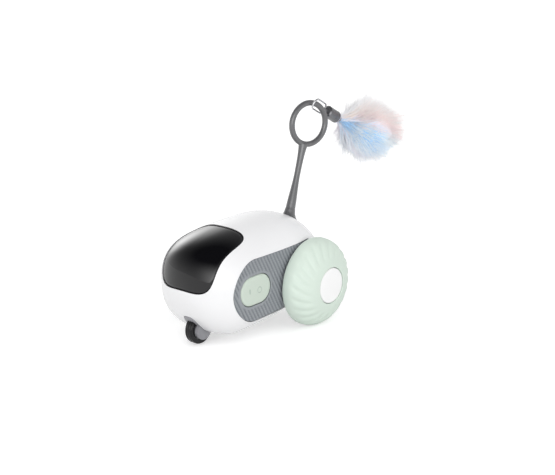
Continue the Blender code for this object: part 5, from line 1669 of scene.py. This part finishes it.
def add_patches(nodes, links, place, patches):
    """Light that soft patches add in each direction."""
    total = 0.0
    for way, sharpness, strength in patches:
        facing = nodes.new("ShaderNodeVectorMath")
        facing.operation = "DOT_PRODUCT"
        facing.inputs[1].default_value = Vector(way).normalized()
        links.new(place.outputs["Generated"], facing.inputs[0])
        ahead = add_math(nodes, links, "MAXIMUM", facing.outputs["Value"], 0.0)
        spot = add_math(nodes, links, "POWER", ahead, sharpness)
        total = add_math(nodes, links, "ADD", total, add_math(nodes, links, "MULTIPLY", spot, strength))
    return total


def make_world():
    """White studio air: plain white to the camera, patched for the light that lands on the object."""
    world = bpy.data.worlds.new("studio")
    bpy.context.scene.world = world
    world.use_nodes = True
    nodes, links = world.node_tree.nodes, world.node_tree.links
    place = nodes.new("ShaderNodeTexCoord")
    split = nodes.new("ShaderNodeSeparateXYZ")
    links.new(place.outputs["Generated"], split.inputs["Vector"])
    span = nodes.new("ShaderNodeMapRange")
    span.inputs["To Min"].default_value = HORIZON_LIGHT
    span.inputs["To Max"].default_value = TOP_LIGHT
    links.new(split.outputs["Z"], span.inputs["Value"])
    camera, seen = background_rays(nodes, links)
    lit = add_math(nodes, links, "ADD", span.outputs["Result"], add_patches(nodes, links, place, LIT_PATCHES))
    off_camera = add_math(nodes, links, "SUBTRACT", 1.0, camera)
    shown = add_math(nodes, links, "MULTIPLY", add_patches(nodes, links, place, SHOWN_PATCHES), off_camera)
    shown = add_math(nodes, links, "ADD", shown, BACKGROUND_LIGHT)
    blend = nodes.new("ShaderNodeMix")
    links.new(seen, blend.inputs["Factor"])
    links.new(lit, blend.inputs["A"])
    links.new(shown, blend.inputs["B"])
    background = nodes["Background"]
    background.inputs["Color"].default_value = (1, 1, 1, 1)
    light = add_math(nodes, links, "MAXIMUM", blend.outputs["Result"], LEAST_LIGHT)
    links.new(light, background.inputs["Strength"])


def make_lamp():
    """Soft square lamp over the camera's left, for the shadow's direction."""
    data = bpy.data.lights.new("key", "AREA")
    data.size = LAMP_SIZE
    data.energy = LAMP_POWER
    lamp = bpy.data.objects.new("key", data)
    bpy.context.scene.collection.objects.link(lamp)
    lamp.location = LAMP_PLACE
    lamp.visible_glossy = False
    aim = Vector(CAMERA_AIM) - Vector(LAMP_PLACE)
    lamp.rotation_euler = aim.to_track_quat("-Z", "Y").to_euler()


def main():
    """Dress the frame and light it."""
    make_camera()
    make_floor()
    make_world()
    make_lamp()
    make_shell(white_plastic())
    make_cover(white_plastic())
    make_screws(brushed_steel())
    make_visor(visor_gloss())
    make_panels(panel_grey())
    make_button(button_mint(), button_mark())
    make_tyres(tyre_mint())
    make_hub_caps(cap_white())
    make_roller(roller_black(), well_grey())
    make_well(well_grey())
    make_charger(switch_black())
    make_tail(tail_grey())
    make_loop(wire_metal())
    make_ferrule(ferrule_metal(), collar_lilac(), knot_dark())
    fibre = tuft_fibre()
    make_core(fibre)
    make_tuft(fibre)
    finish_inner_pieces()
    bpy.context.scene.view_settings.view_transform = "Standard"


main()
